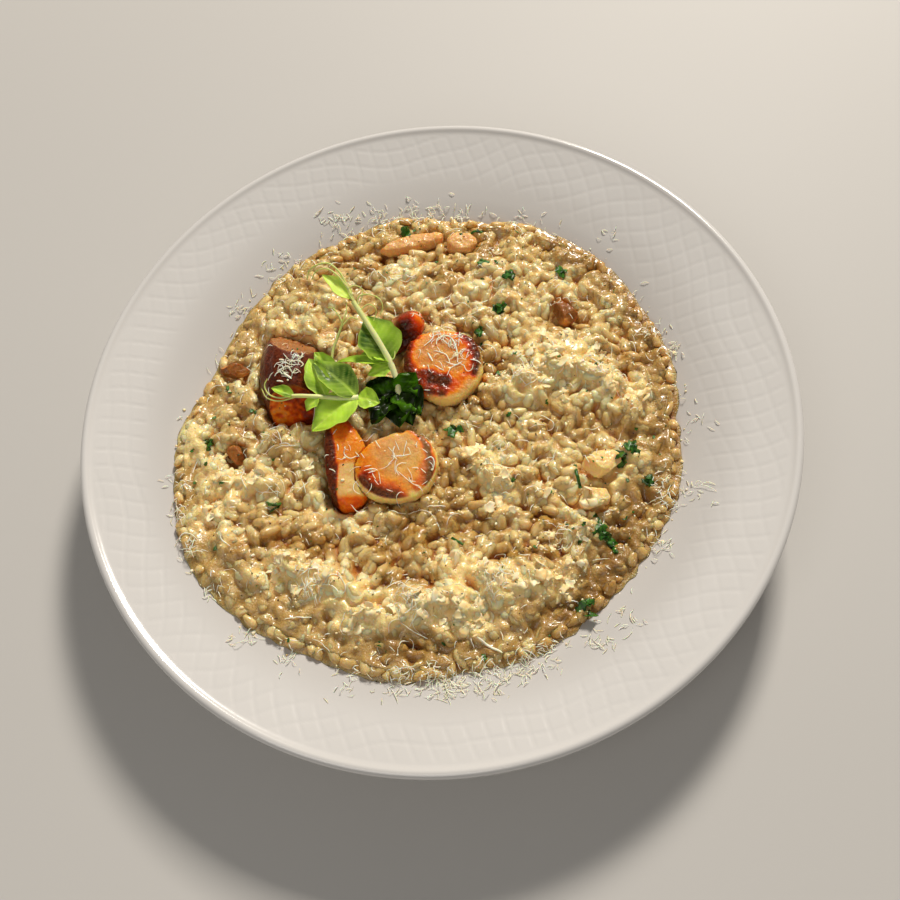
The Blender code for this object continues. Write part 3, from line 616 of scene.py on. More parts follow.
def fine_relief_effect():
    """Unevenness too fine for the mesh, as a normal; Depth is in metres."""
    group, given, result = new_effect(
        "fine_relief", {"Size": 900.0, "Depth": 0.0002, "Strength": 0.5}, "Normal",
        "NodeSocketVector")
    place = group.nodes.new("ShaderNodeTexCoord")
    cloud = group.nodes.new("ShaderNodeTexNoise")
    cloud.inputs["Detail"].default_value = 2
    relief = group.nodes.new("ShaderNodeBump")
    group.links.new(place.outputs["Object"], cloud.inputs["Vector"])
    group.links.new(given.outputs["Size"], cloud.inputs["Scale"])
    group.links.new(cloud.outputs["Fac"], relief.inputs["Height"])
    group.links.new(given.outputs["Depth"], relief.inputs["Distance"])
    group.links.new(given.outputs["Strength"], relief.inputs["Strength"])
    group.links.new(relief.outputs["Normal"], result.inputs["Normal"])
    return group


MOTTLING = mottling_effect()
FINE_RELIEF = fine_relief_effect()
AMBER = srgb(218, 150, 40)           # painted shade deep between the grains, warm as light seen through starch
DAMP = srgb(190, 166, 112)           # painted shade in the hollows of the heap


def porcelain_finish():
    finish = Finish("glazed_porcelain", {"Roughness": 0.16, "Coat Weight": 0.5,
                                         "Coat Roughness": 0.05, "IOR": 1.5})
    cloud = finish.effect(MOTTLING, "Mask", Size=14.0, Contrast=1.2)
    glaze = finish.mix(cloud, srgb(211, 208, 205), srgb(218, 215, 212))
    # painted shade: the glaze is darker in the well than on the rim
    finish.feed("Base Color", finish.mix(finish.share("well"), glaze, srgb(201, 197, 193)))
    finish.feed("Roughness", finish.span(cloud, 0.0, 1.0, 0.13, 0.2))
    finish.feed("Normal", finish.effect(FINE_RELIEF, "Normal", Size=160.0, Depth=0.0004,
                                        Strength=0.06))
    return finish.material


def rice_finish(name, shade, light, rich):
    """Cooked rice: pale and pearly, with painted amber glow at its steep edges, painted shade
    deep between the grains and in hollows, and painted sunlight on the crests.
    """
    finish = Finish(name, {"Subsurface Weight": 0.75, "Subsurface Scale": 0.0042,
                           "Subsurface Radius": (1.0, 0.62, 0.25), "Coat Weight": 0.6,
                           "Coat Roughness": 0.14, "IOR": 1.38})
    tone = finish.mix(finish.share("tone"), shade, light)
    cloud = finish.effect(MOTTLING, "Mask", Size=420.0, Contrast=2.4)
    tone = finish.mix(finish.math("MULTIPLY", cloud, 0.5), tone, light)
    # painted light and shade: amber glow on steep sides, sunlight on the crests partly as real
    # cream, shade in hollows and between the grains
    tone = finish.mix(finish.share("flank"), tone, srgb(214, 146, 50))
    tone = finish.mix(finish.share("cream"), tone, rich)
    tone = finish.mix(finish.share("hollow"), tone, DAMP, "MULTIPLY")
    finish.feed("Base Color", finish.mix(finish.share("depth"), tone, AMBER, "MULTIPLY"))
    finish.feed("Roughness", finish.span(cloud, 0.0, 1.0, 0.28, 0.5))
    finish.feed("Normal", finish.effect(FINE_RELIEF, "Normal", Size=900.0, Depth=0.0006,
                                        Strength=0.55))
    return finish.material


def sauce_finish():
    finish = Finish("risotto_cream", {"Subsurface Weight": 0.65, "Coat Weight": 0.55,
                                      "Subsurface Scale": 0.0042, "IOR": 1.4,
                                      "Subsurface Radius": (1.0, 0.62, 0.26),
                                      "Coat Roughness": 0.16})
    cloud = finish.effect(MOTTLING, "Mask", Size=260.0, Contrast=2.2)
    base = finish.mix(finish.share("near"), srgb(190, 136, 54), srgb(236, 200, 130))
    base = finish.mix(finish.math("MULTIPLY", cloud, 0.4), base, srgb(230, 194, 128))
    base = finish.mix(finish.math("MULTIPLY", finish.share("edge"), 0.65), base,
                      srgb(176, 143, 82))
    # painted light and shade: sunlight on the crests partly as real cream, shade in hollows and
    # deep between the grains
    base = finish.mix(finish.share("cream"), base, srgb(255, 220, 150))
    base = finish.mix(finish.share("hollow"), base, DAMP, "MULTIPLY")
    base = finish.mix(finish.share("depth"), base, AMBER, "MULTIPLY")
    finish.feed("Base Color", base)
    finish.feed("Roughness", finish.span(cloud, 0.0, 1.0, 0.2, 0.42))
    finish.feed("Normal", finish.effect(FINE_RELIEF, "Normal", Size=1100.0, Depth=0.0008,
                                        Strength=0.7))
    return finish.material


def mushroom_finish(name, pale, tan, gloss, glow):
    """Mushroom flesh that browns to a dark sear, with skin and a pale outside, and on the right
    slice also painted glow on its shaded sides.
    """
    finish = Finish(name, {"Subsurface Weight": 0.85, "Subsurface Scale": glow,
                           "Subsurface Radius": (1.0, 0.42, 0.1), "Coat Weight": gloss,
                           "Coat Roughness": 0.12, "IOR": 1.22})
    cloud = finish.effect(MOTTLING, "Mask", Size=330.0, Contrast=1.8)
    spots = finish.effect(MOTTLING, "Mask", Size=1100.0, Contrast=2.4)
    level = finish.math("ADD", finish.share("browning"), finish.math(
        "MULTIPLY", finish.math("MULTIPLY", cloud, finish.share("browning")), 0.35))
    flesh = finish.ramp(level, (0.0, tan), (0.2, srgb(232, 164, 84)),
                        (0.38, srgb(255, 146, 20)), (0.55, srgb(222, 82, 4)),
                        (0.75, srgb(140, 28, 2)), (1.0, srgb(58, 12, 4)))
    flesh = finish.mix(finish.math("MULTIPLY", spots, 0.32), flesh, srgb(168, 90, 36))
    flesh = finish.mix(finish.share("pale"), flesh, pale)
    skin = finish.mix(spots, srgb(66, 20, 6), srgb(122, 54, 26))
    finish.feed("Base Color", finish.mix(finish.share("skin"), flesh, skin))
    finish.feed("Roughness", finish.span(cloud, 0.0, 1.0, 0.25, 0.45))
    finish.feed("Normal", finish.effect(FINE_RELIEF, "Normal", Size=1400.0, Depth=0.0004,
                                        Strength=0.6))
    return finish.material


def leaf_finish(name, deep, fresh, vein, roughness, gloss):
    finish = Finish(name, {"Subsurface Weight": 0.3, "Subsurface Scale": 0.001,
                           "Subsurface Radius": (0.6, 1.0, 0.05), "IOR": 1.18,
                           "Coat Weight": gloss, "Coat Roughness": 0.15})
    cloud = finish.effect(MOTTLING, "Mask", Size=240.0, Contrast=2.2)
    base = finish.mix(finish.share("freshness"), deep, fresh)
    base = finish.mix(finish.math("MULTIPLY", cloud, 0.25), base, vein)
    finish.feed("Base Color", finish.mix(finish.share("vein"), base, vein))
    finish.feed("Roughness", finish.span(cloud, 0.0, 1.0, roughness - 0.08,
                                         roughness + 0.1))
    finish.feed("Normal", finish.effect(FINE_RELIEF, "Normal", Size=1200.0, Depth=0.0002,
                                        Strength=0.35))
    return finish.material


def speck_finish(name, first, second, roughness, size):
    """Small things whose colour varies from place to place."""
    finish = Finish(name, {"IOR": 1.4, "Subsurface Weight": 0.3,
                           "Subsurface Scale": 0.0008})
    cloud = finish.effect(MOTTLING, "Mask", Size=size, Contrast=3.0)
    finish.feed("Base Color", finish.mix(cloud, first, second))
    finish.feed("Roughness", finish.span(cloud, 0.0, 1.0, roughness, roughness + 0.15))
    finish.feed("Normal", finish.effect(FINE_RELIEF, "Normal", Size=2500.0, Depth=0.0001,
                                        Strength=0.4))
    return finish.material


# ------------------------------------------------------------------ plate

def plate_top(radius):
    """Height of the plate's upper side: flat floor, curved side, straight rim."""
    radius = np.asarray(radius, float)
    span = SHOULDER_RADIUS - FLOOR_RADIUS
    t = np.clip((radius - FLOOR_RADIUS) / span, 0, 1)
    rise = t * t * (3 - 2 * t)
    side = FLOOR_TOP * (1 - rise) + SHOULDER_TOP * rise
    side += t * t * (t - 1) * span * RIM_SLOPE
    return side + np.maximum(radius - SHOULDER_RADIUS, 0) * RIM_SLOPE


def net_relief(x, y):
    """The pressed net on the rim: two families of wavy grooves between soft pillows."""
    radius, angle = np.hypot(x, y), np.arctan2(y, x)
    u = x + 2.6 * np.sin(y / 19 + 0.4) + 0.9 * np.sin(y / 7.1 + x / 23)
    v = y + 2.6 * np.sin(x / 17 + 1.1) + 0.9 * np.sin(x / 6.3 - y / 29)
    cover = 1.0
    for across in (u, v):
        to_line = (across / NET_CELL + 0.5) % 1 - 0.5
        cover = cover * (1 - bump(to_line * NET_CELL, NET_GROOVE))
    start = 111 - 6.5 * np.cos(angle) - 1.5 * np.sin(angle) - 4.5 * np.cos(2 * angle)
    shown = smoothstep(radius, start, start + 6) * (1 - smoothstep(radius, *NET_FADE))
    return -NET_DEPTH * (1 - cover) * shown


def build_plate():
    """The plate, turned, with the net pressed into its rim."""
    inner = [2.0] + list(np.linspace(8, FLOOR_RADIUS, 7)) + list(np.arange(61, 97, 3))
    net = list(np.arange(NET_START, RIM_END, NET_STEP))
    bead = [math.radians(turn) for turn in range(135, -46, -18)]
    profile = [(radius, float(plate_top(radius)), PLATE_SIDES) for radius in inner]
    profile += [(radius, float(plate_top(radius)), NET_SIDES) for radius in net]
    profile += [(PLATE_HALF - BEAD_RADIUS * (1 - math.cos(turn)),
                 PLATE_HEIGHT - BEAD_RADIUS * (1 - math.sin(turn)), PLATE_SIDES)
                for turn in bead]
    profile += [(radius, float(plate_top(radius)) - WALL, PLATE_SIDES)
                for radius in UNDER_RADII]
    for radius, height in FOOT:
        if height is None:
            height = float(plate_top(radius)) - WALL
        profile.append((radius, height, PLATE_SIDES))
    counts = [count for _, _, count in profile]
    quads, triangles, starts = turned_faces(counts)
    points = []
    for radius, height, count in profile:
        turn = np.arange(count) * 2 * math.pi / count
        x, y = radius * np.cos(turn), radius * np.sin(turn)
        z = np.full(count, height)
        if count == NET_SIDES:
            z = z + net_relief(x, y)
        points.append(rows(x, y, z))
    points = np.concatenate(points + [[[0, 0, FLOOR_TOP], [0, 0, FOOT[-1][1]]]])
    triangles.append(closing_fan(len(points) - 2, 0, PLATE_SIDES, True))
    triangles.append(closing_fan(len(points) - 1, starts[-1], PLATE_SIDES, False))
    # painted shade in the well, gone by the outer rim
    well = 1 - smoothstep(np.hypot(points[:, 0], points[:, 1]), *WELL_FADE)
    plate = new_piece("dinner_plate", points, quads + triangles, porcelain_finish(),
                      "porcelain", well=well)
    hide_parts("plate")


# ------------------------------------------------------------------ levels over the plate

GRID_LINE = np.arange(-GRID_HALF, GRID_HALF + GRID_STEP / 2, GRID_STEP)
GRID_X, GRID_Y = np.meshgrid(GRID_LINE, GRID_LINE)
GRID_RADIUS = np.hypot(GRID_X, GRID_Y)


def sample(grid, x, y):
    """Values of a grid at places in mm, read between its points."""
    last = len(GRID_LINE) - 1.001
    column = np.clip((np.asarray(x) + GRID_HALF) / GRID_STEP, 0, last)
    row = np.clip((np.asarray(y) + GRID_HALF) / GRID_STEP, 0, last)
    i, j = column.astype(int), row.astype(int)
    s, t = column - i, row - j
    near = grid[j, i] * (1 - s) + grid[j, i + 1] * s
    far = grid[j + 1, i] * (1 - s) + grid[j + 1, i + 1] * s
    return near * (1 - t) + far * t


def blur(grid, spread):
    """A grid with each point averaged with those around it, over a spread in mm."""
    waves = np.fft.fftfreq(len(GRID_LINE), d=GRID_STEP) * 2 * math.pi
    fall = np.exp(-0.5 * (waves * spread) ** 2)
    return np.fft.ifft2(np.fft.fft2(grid) * np.outer(fall, fall)).real


def tree_of(node):
    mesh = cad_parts[node].data
    return BVHTree.FromPolygons([vert.co for vert in mesh.vertices],
                                [face.vertices for face in mesh.polygons])


def levels(node, from_above=True):
    """Grid of the heights where upright lines first meet a node; NaN where none does."""
    low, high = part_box(node)
    tree = tree_of(node)
    grid = np.full(GRID_X.shape, np.nan)
    start = 0.2 if from_above else -0.1
    way = Vector((0, 0, -1 if from_above else 1))
    inside = ((GRID_X > low.x / MM) & (GRID_X < high.x / MM)
              & (GRID_Y > low.y / MM) & (GRID_Y < high.y / MM))
    for row, column in zip(*np.nonzero(inside)):
        origin = Vector((GRID_LINE[column] * MM, GRID_LINE[row] * MM, start))
        hit = tree.ray_cast(origin, way)[0]
        if hit:
            grid[row, column] = hit.z / MM
    return grid


def heap_edge(count):
    """Distances in mm from the heap's middle to its edge, on so many spokes."""
    tree = tree_of("risotto")
    reach = []
    for turn in np.arange(count) * 2 * math.pi / count:
        way = Vector((math.cos(turn), math.sin(turn), 0))
        near, far = 60.0, 125.0
        while far - near > 0.02:
            middle = (near + far) / 2
            place = (HEAP_MIDDLE + way * middle) * MM
            inside = tree.ray_cast(Vector((place.x, place.y, 0.2)), Vector((0, 0, -1)))[0]
            near, far = (middle, far) if inside else (near, middle)
        reach.append(near)
    return np.array(reach)


def heap_middle():
    low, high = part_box("risotto")
    return Vector(((low.x + high.x) / 2, (low.y + high.y) / 2, 0)) / MM


HEAP_MIDDLE = heap_middle()
HEAP_EDGE = heap_edge(CORE_SPOKES)


def inset(x, y):
    """How far in mm a place is inside the heap's edge; below zero outside it."""
    away_x, away_y = x - HEAP_MIDDLE.x, y - HEAP_MIDDLE.y
    turn = np.arctan2(away_y, away_x) % (2 * math.pi)
    spokes = np.arange(CORE_SPOKES + 1) * 2 * math.pi / CORE_SPOKES
    edge = np.interp(turn, spokes, np.append(HEAP_EDGE, HEAP_EDGE[0]))
    return edge - np.hypot(away_x, away_y)


def marked(strokes):
    """Share from 0 to 1 that strokes cover of each place over the plate, uneven at edges."""
    places = rows(GRID_X + 1.6 * ripple(GRID_X, GRID_Y, 11, 41),
                  GRID_Y + 1.6 * ripple(GRID_X, GRID_Y, 11, 42))
    return laid_over(places, strokes).reshape(GRID_X.shape)


def stroke(points, width, route):
    """How near points are in plan to a route through given places, 1 on it."""
    plan = points[:, :2]
    nearest = np.full(len(plan), np.inf)
    for first, last in zip(route, route[1:]):
        along = np.subtract(last, first)
        share = np.clip((plan - first) @ along / (along @ along), 0, 1)
        away = plan - first - share[:, None] * along
        nearest = np.minimum(nearest, np.linalg.norm(away, axis=1))
    return bump(nearest, width)


def laid_over(points, strokes):
    """Share that strokes of (strength, width, route) cover together at each point."""
    left = np.ones(len(points))
    for strength, width, route in strokes:
        left = left * (1 - strength * stroke(points, width, route))
    return 1 - left


class Bed:
    """What the rice lies on, how high it may come, and how high it has come."""

    def __init__(self):
        plate = plate_top(GRID_RADIUS)
        heap = levels("risotto")
        tops = [levels(name) for name in TOPPINGS]
        bases = [levels(name, from_above=False) for name in TOPPINGS]
        buried = (GRID_X < WEDGE_LEFT) & ~np.isnan(levels("mushroom_wedge_front"))
        for heights in tops + bases:
            heights[buried] = np.nan
        self.toppings = np.fmax.reduce(tops)
        under = np.fmin.reduce(bases)
        self.inset = inset(GRID_X, GRID_Y)
        rice = (self.inset > 0) & np.isnan(self.toppings) & ~np.isnan(heap)
        weight = blur(rice.astype(float), 2.5)
        filled = blur(np.where(rice, heap, 0.0), 2.5) / np.maximum(weight, 0.001)
        surface = np.where(rice, heap, np.where(weight > 0.02, filled, heap))
        surface = np.where(np.isnan(surface), plate, surface)
        self.plate = plate
        self.target = np.where(self.inset > 0, np.maximum(surface, plate + 1.2), plate)
        broad = np.clip((self.target - blur(self.target, 16)) / 2.0, -1, 1.5)
        broad *= smoothstep(self.inset, 6, 24)
        crest, self.hollow = marked(CRESTS), marked(HOLLOWS)
        self.ridge = np.clip(0.4 * broad + 1.25 * crest - self.hollow, -1, 1.5)
        uneven = 1.1 * ripple(GRID_X, GRID_Y, 18, 3) + 1.2 * ripple(GRID_X, GRID_Y, 11, 4)
        uneven += 1.2 * crest - 1.9 * self.hollow
        self.target = self.target + uneven * smoothstep(self.inset, 3, 14)
        self.target = np.maximum(self.target, plate)
        room = 2.0 + 0.9 * smoothstep(self.ridge, 0.2, 1.2)
        covered = ~np.isnan(under)
        self.ceiling = np.where(covered, np.nan_to_num(under) - 0.25, self.target + room)
        self.ceiling = np.where(self.inset > 0.2, self.ceiling, plate)
        floor = np.minimum(self.target - RICE_DEPTH, self.ceiling - 0.5)
        self.surface = np.maximum(floor, plate + 0.1)
        self.grains = self.surface.copy()


# ------------------------------------------------------------------ rice

def grain_window(size):
    return int(math.ceil((size / 2 + GRID_STEP) / GRID_STEP))


def settle_grain(bed, place, turn, size, rng):
    """Lays one grain on the bed at a place; gives its pose, or None if it won't fit."""
    column = int(round((place[0] + GRID_HALF) / GRID_STEP))
    row = int(round((place[1] + GRID_HALF) / GRID_STEP))
    reach = grain_window(size[0])
    area = (slice(row - reach, row + reach + 1), slice(column - reach, column + reach + 1))
    away_x, away_y = GRID_X[area] - place[0], GRID_Y[area] - place[1]
    u = (away_x * math.cos(turn) + away_y * math.sin(turn)) / (size[0] / 2)
    v = (away_y * math.cos(turn) - away_x * math.sin(turn)) / (size[1] / 2)
    inside = u * u + v * v < 1
    if not inside.any():
        return None
    u, v, held = u[inside], v[inside], bed.grains[area][inside]
    level = held.mean()
    pitch = 0.7 * (u * (held - level)).sum() / (u * u).sum() + rng.normal(0, 1.4)
    roll = 0.6 * (v * (held - level)).sum() / (v * v).sum()
    pitch = float(np.clip(pitch, -0.8 * size[0] / 2, 0.8 * size[0] / 2))
    roll = float(np.clip(roll, -0.4 * size[1] / 2, 0.4 * size[1] / 2))
    tilted = pitch * u + roll * v
    dome = np.sqrt(1 - u * u - v * v) * size[2] / 2
    height = float(np.percentile(held - tilted + dome, GRAIN_SEAT))
    top = height + tilted + dome
    over = float((top - bed.ceiling[area][inside]).max())
    if over > GRAIN_OVERSHOOT:
        return None
    height -= max(over, 0)
    patch = bed.grains[area]
    patch[inside] = np.maximum(held, top - max(over, 0))
    return (place[0], place[1], height, turn, math.atan2(pitch, size[0] / 2),
            math.atan2(roll, size[1] / 2), *size)


def lay_rice(bed):
    """Lays grains one by one where the bed is still below its level."""
    rng = np.random.default_rng(11)
    half_side = min(HEAP_EDGE.max() + 5, GRID_HALF - 6)
    grains = []
    for _ in range(GRAIN_TRIES):
        place = rng.uniform(-half_side, half_side, 2)
        turn = rng.uniform(0, math.pi)
        spread = np.clip(rng.normal(1, GRAIN_SPREAD), *GRAIN_LIMITS)
        short_of = sample(bed.target, *place) - sample(bed.grains, *place)
        if sample(bed.inset, *place) < 1.6 or short_of < GRAIN_SHORTFALL:
            continue
        crest = float(sample(bed.ridge, *place))
        size = np.array(GRAIN) * spread * (1 + 0.05 * max(crest, 0))
        pose = settle_grain(bed, place, turn, size, rng)
        if pose:
            grains.append(pose)
    return np.array(grains)


def grain_shape(rng, around, along, burst):
    """Points of a cooked grain one long, one wide and one thick, tips at either end."""
    bend = rng.uniform(0.02, 0.16)
    blunt = rng.uniform(0.5, 0.85)
    lean = rng.uniform(-0.3, 0.3)
    crease = rng.uniform(0.12, 0.24) if burst else rng.uniform(0.0, 0.08)
    crease_at = rng.uniform(-0.9, 0.9)
    lumps = rng.uniform(0, 2 * math.pi, 4)
    turns = np.arange(around) * 2 * math.pi / around
    points = []
    for ring in range(1, along + 1):
        share = ring / (along + 1)
        sweep = math.pi * share
        x = -math.cos(sweep) / 2
        girth = math.sin(sweep) ** blunt * (1 + lean * math.cos(sweep)) / 2
        wave = 1 + 0.06 * np.sin(2 * turns + lumps[0] + 5 * x)
        wave += (0.11 if burst else 0.04) * np.sin(3 * turns + lumps[1] - 9 * x)
        wave += (0.1 if burst else 0.03) * np.sin(turns + lumps[2] + 17 * x)
        cut = 1 - crease * np.exp(-((turns - math.pi / 2 - crease_at) / 0.45) ** 2)
        radius = girth * wave * (1 - (1 - cut) * math.sin(sweep))
        across = radius * np.cos(turns) + bend * (math.sin(sweep) - 0.6)
        points.append(rows(np.full(around, x), across, radius * np.sin(turns)))
    tips = [[-0.505, bend * -0.6, 0], [0.505, bend * -0.6, 0]]
    return np.concatenate(points + [tips])


def grain_faces(around, along):
    """Quads and triangles over the rings and two tips of a grain."""
    quads = [band(ring * around, (ring + 1) * around, around)[:, ::-1]
             for ring in range(along - 1)]
    first, last = around * along, around * along + 1
    caps = [closing_fan(first, 0, around, False),
            closing_fan(last, around * (along - 1), around, True)]
    return np.concatenate(quads), np.concatenate(caps)


def turn_matrix(turn, pitch, roll):
    return np.array(Matrix.Rotation(turn, 3, "Z") @ Matrix.Rotation(-pitch, 3, "Y")
                    @ Matrix.Rotation(roll, 3, "X"))


def build_grains(name, poses, design, burst, bed, material):
    """One piece of many grains, each a turned and stretched copy of a variant."""
    rng = np.random.default_rng(23 if burst else 17)
    around, along = design["around"], design["along"]
    shapes = [grain_shape(rng, around, along, burst) for _ in range(design["variants"])]
    quads, caps = grain_faces(around, along)
    count = len(shapes[0])
    points, tones, flanks = [], [], []
    for pose in poses:
        shape = shapes[rng.integers(len(shapes))] * pose[6:9]
        twist = turn_matrix(pose[3], pose[4], pose[5] + rng.normal(0, 0.3))
        points.append(shape @ twist.T + pose[:3])
        outwards = (shape / pose[6:9] ** 2) @ twist.T
        rise = np.clip(outwards[:, 2] / np.linalg.norm(outwards, axis=1), 0, 1)
        flanks.append(FLANK_AMBER * np.clip((0.65 - rise ** 0.7) / 0.6, 0, 1))
        tones.append(rng.uniform(*TONE_SPREAD))
    points = np.concatenate(points)
    face_sets = copied_faces((quads, caps), len(poses), count)
    ridge = sample(bed.ridge, points[:, 0], points[:, 1])
    below = sample(bed.target, points[:, 0], points[:, 1]) - points[:, 2]
    crest = smoothstep(ridge, -0.1, 0.55) * smoothstep(-below, -1.6, 0.8)
    heart = bump(np.tile(shapes[0][:, 0], len(poses)), 0.3)
    patchy = 0.48 + 0.28 * ripple(points[:, 0], points[:, 1], 17, 21)
    patchy += 0.22 * ripple(points[:, 0], points[:, 1], 9, 22)
    loose = saucy(points[:, 0], points[:, 1], inset(points[:, 0], points[:, 1]))
    hollow = sample(bed.hollow, points[:, 0], points[:, 1])
    tone = np.repeat(tones, count) + patchy + 0.25 * heart - 0.5 * loose
    # painted light and shade: rice made lighter towards the front, darker towards the back
    tone += 0.3 * smoothstep(-points[:, 1], 30, 62) - 0.2 * smoothstep(points[:, 1], 20, 60)
    tone = np.clip(tone, 0, 1)
    # painted light and shade at each point: crest grains lighter as though sunlit, partly real
    # cream; amber glow on steep sides; shade in hollows and on grains deep under others
    piece = new_piece(name, points, face_sets, material, "risotto",
                      tone=tone, cream=crest * (0.6 + 0.4 * tone), hollow=hollow,
                      flank=np.concatenate(flanks),
                      depth=0.9 * smoothstep(below, -0.6, 3.0) * (1 - 0.7 * crest))
    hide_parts("risotto")


def saucy(x, y, away):
    """Share of loose sauce near the heap's edge: a wide band in front, a thin one behind."""
    turn = np.arctan2(y, x)
    wide = 12.5 - 7.0 * np.sin(turn) + 2.0 * np.cos(turn) + 3 * ripple(x, y, 34, 6)
    return 1 - smoothstep(away, 0.55 * wide, 1.5 * wide)


def cream_level(bed):
    """Height of the creamy sauce between the grains, over the grid."""
    wet = saucy(GRID_X, GRID_Y, bed.inset)
    below = 0.75 - 0.8 * smoothstep(bed.ridge, 0.1, 1) + 0.5 * bed.hollow
    below += 0.45 * ripple(GRID_X, GRID_Y, 22, 5) - 1.0 * wet
    film = -0.03 + 0.32 * ripple(GRID_X, GRID_Y, 9, 12) - 0.6 * wet
    film -= 0.8 * smoothstep(bed.ridge, 0.15, 1.0)
    level = np.maximum(blur(bed.grains, 1.7) - below, blur(bed.grains, 0.7) - film)
    level = np.minimum(level, np.maximum(bed.ceiling - 0.1, bed.plate + 0.05))
    level += 0.12 * ripple(GRID_X, GRID_Y, 3.2, 8) + 0.07 * ripple(GRID_X, GRID_Y, 1.8, 9)
    return np.maximum(level, bed.plate + 0.05)


def ring_places(edge, count, share):
    """Places on a ring at a share of the way to the edge, and how far inside it each is."""
    turn = np.arange(count) * 2 * math.pi / count
    outer = edge[::CORE_SPOKES // count]
    x = HEAP_MIDDLE.x + outer * share * np.cos(turn)
    y = HEAP_MIDDLE.y + outer * share * np.sin(turn)
    return x, y, outer - outer * share


def build_core(bed):
    """The smaller core: creamy sauce that fills the heap between its loose grains."""
    spokes = np.arange(CORE_SPOKES) * 2 * math.pi / CORE_SPOKES
    edge = HEAP_EDGE + 0.5 * ripple(100 * np.cos(spokes), 100 * np.sin(spokes), 9, 31)
    largest = edge.max()
    shares = np.arange(2 * CORE_STEP, largest, CORE_STEP) / largest
    shares = np.append(shares, 1.0)
    counts = [CORE_SPOKES if share > 0.5 else CORE_SPOKES // 2 if share > 0.22
              else CORE_SPOKES // 4 for share in shares]
    sauce = cream_level(bed)
    points = []
    for share, count in zip(shares, counts):
        x, y, away = ring_places(edge, count, share)
        level = sample(sauce, x, y)
        lip = plate_top(np.hypot(x, y)) + 0.05 + 2.4 * smoothstep(away, -1.2, CORE_LIP)
        points.append(rows(x, y, np.where(away < CORE_LIP, np.minimum(level, lip), level)))
    for share in CORE_UNDER:
        counts.append(CORE_SPOKES // 4)
        x, y, _ = ring_places(edge, counts[-1], share)
        points.append(rows(x, y, plate_top(np.hypot(x, y)) + 0.02))
    quads, triangles, starts = turned_faces(counts)
    middle_top = [HEAP_MIDDLE.x, HEAP_MIDDLE.y,
                  float(sample(sauce, HEAP_MIDDLE.x, HEAP_MIDDLE.y))]
    middle_under = [HEAP_MIDDLE.x, HEAP_MIDDLE.y, FLOOR_TOP + 0.02]
    points = np.concatenate(points + [[middle_top, middle_under]])
    triangles.append(closing_fan(len(points) - 2, 0, counts[0], True))
    triangles.append(closing_fan(len(points) - 1, starts[-1], counts[-1], False))
    away = inset(points[:, 0], points[:, 1])
    ridge = sample(bed.ridge, points[:, 0], points[:, 1])
    below = sample(blur(bed.grains, 3.0), points[:, 0], points[:, 1]) - points[:, 2]
    over = points[:, 2] - sample(bed.grains, points[:, 0], points[:, 1])
    # painted light and shade at each point: crests lighter as though sunlit, partly real cream;
    # shade in hollows and where the sauce lies deep between grains
    core = new_piece("risotto_cream", points, quads + triangles, sauce_finish(), "risotto",
                     edge=saucy(points[:, 0], points[:, 1], away),
                     cream=smoothstep(ridge, 0.0, 0.75),
                     near=1 - smoothstep(over, -0.2, 1.5),
                     hollow=sample(bed.hollow, points[:, 0], points[:, 1]),
                     depth=0.85 * smoothstep(below, 0.1, 2.6))
    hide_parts("risotto")
    return sauce


# ------------------------------------------------------------------ small toppings

def blurred_level(cover, line):
    """Heights of a line that lies across what is under it."""
    level = sample(cover, line[:, 0], line[:, 1])
    return np.convolve(np.pad(level, 2, mode="edge"), np.full(5, 0.2), mode="valid")


def build_herbs(cover):
    """Torn flakes of herb, curled and a little thick, pressed onto the food."""
    rng = np.random.default_rng(41)
    flakes = []
    for x, y, size in HERBS:
        for _ in range(1 + int(size > 1.5) * 3):
            flakes.append((x + rng.normal(0, size * 0.4), y + rng.normal(0, size * 0.4),
                           size * rng.uniform(0.9, 1.5)))
    while len(flakes) < len(HERBS) + HERB_DUST:
        x, y = rng.uniform(-STREWN_HALF, STREWN_HALF, 2)
        if inset(x, y) > 3:
            flakes.append((x, y, rng.uniform(0.25, 0.6)))
    around, rings = 12, 3
    points, quads, triangles = [], [], []
    start = 0
    for x, y, size in flakes:
        turns = np.arange(around) * 2 * math.pi / around
        outline = 1 + 0.3 * np.sin(2 * turns + rng.uniform(0, 6))
        outline += 0.22 * np.sin(5 * turns + rng.uniform(0, 6))
        fold = rng.uniform(-0.5, 0.5)
        tilt = turn_matrix(rng.uniform(0, 2 * math.pi), rng.normal(0, 0.45),
                           rng.normal(0, 0.45))
        level = float(sample(cover, x, y)) + 0.25 + 0.2 * size
        for side in (1, -1):
            layer = [[[0, 0, side * HERB_HALF]]]
            for ring in range(1, rings + 1):
                reach = size * 0.75 * ring / rings * outline
                across = reach * np.sin(turns)
                lift = fold * np.abs(across) + 0.12 * np.sin(4 * turns) * ring / rings
                layer.append(rows(reach * np.cos(turns), across, lift + side * HERB_HALF))
            points.append(np.concatenate(layer) @ tilt.T + (x, y, level))
        sides, fans = flake_faces(start, around, rings)
        quads += sides
        triangles += fans
        start += 2 * (1 + rings * around)
    for width, route in CHIVES:
        line = smooth_route([(*place, 0.0) for place in route], THREAD_STEP)
        line[:, 2] = blurred_level(cover, line) + 0.3
        points.append(tube_points(line, np.full(len(line), width / 2), 8, 0.4))
        faces, ends = tube_faces(start, len(line), 8)
        quads.append(faces)
        triangles.append(ends)
        start += len(line) * 8
    points = np.concatenate(points)
    new_piece("chopped_herb", points, [np.concatenate(quads), np.concatenate(triangles)],
              speck_finish("chopped_herb", srgb(12, 44, 8), srgb(66, 126, 34), 0.3, 600.0),
              "chopped_herb")


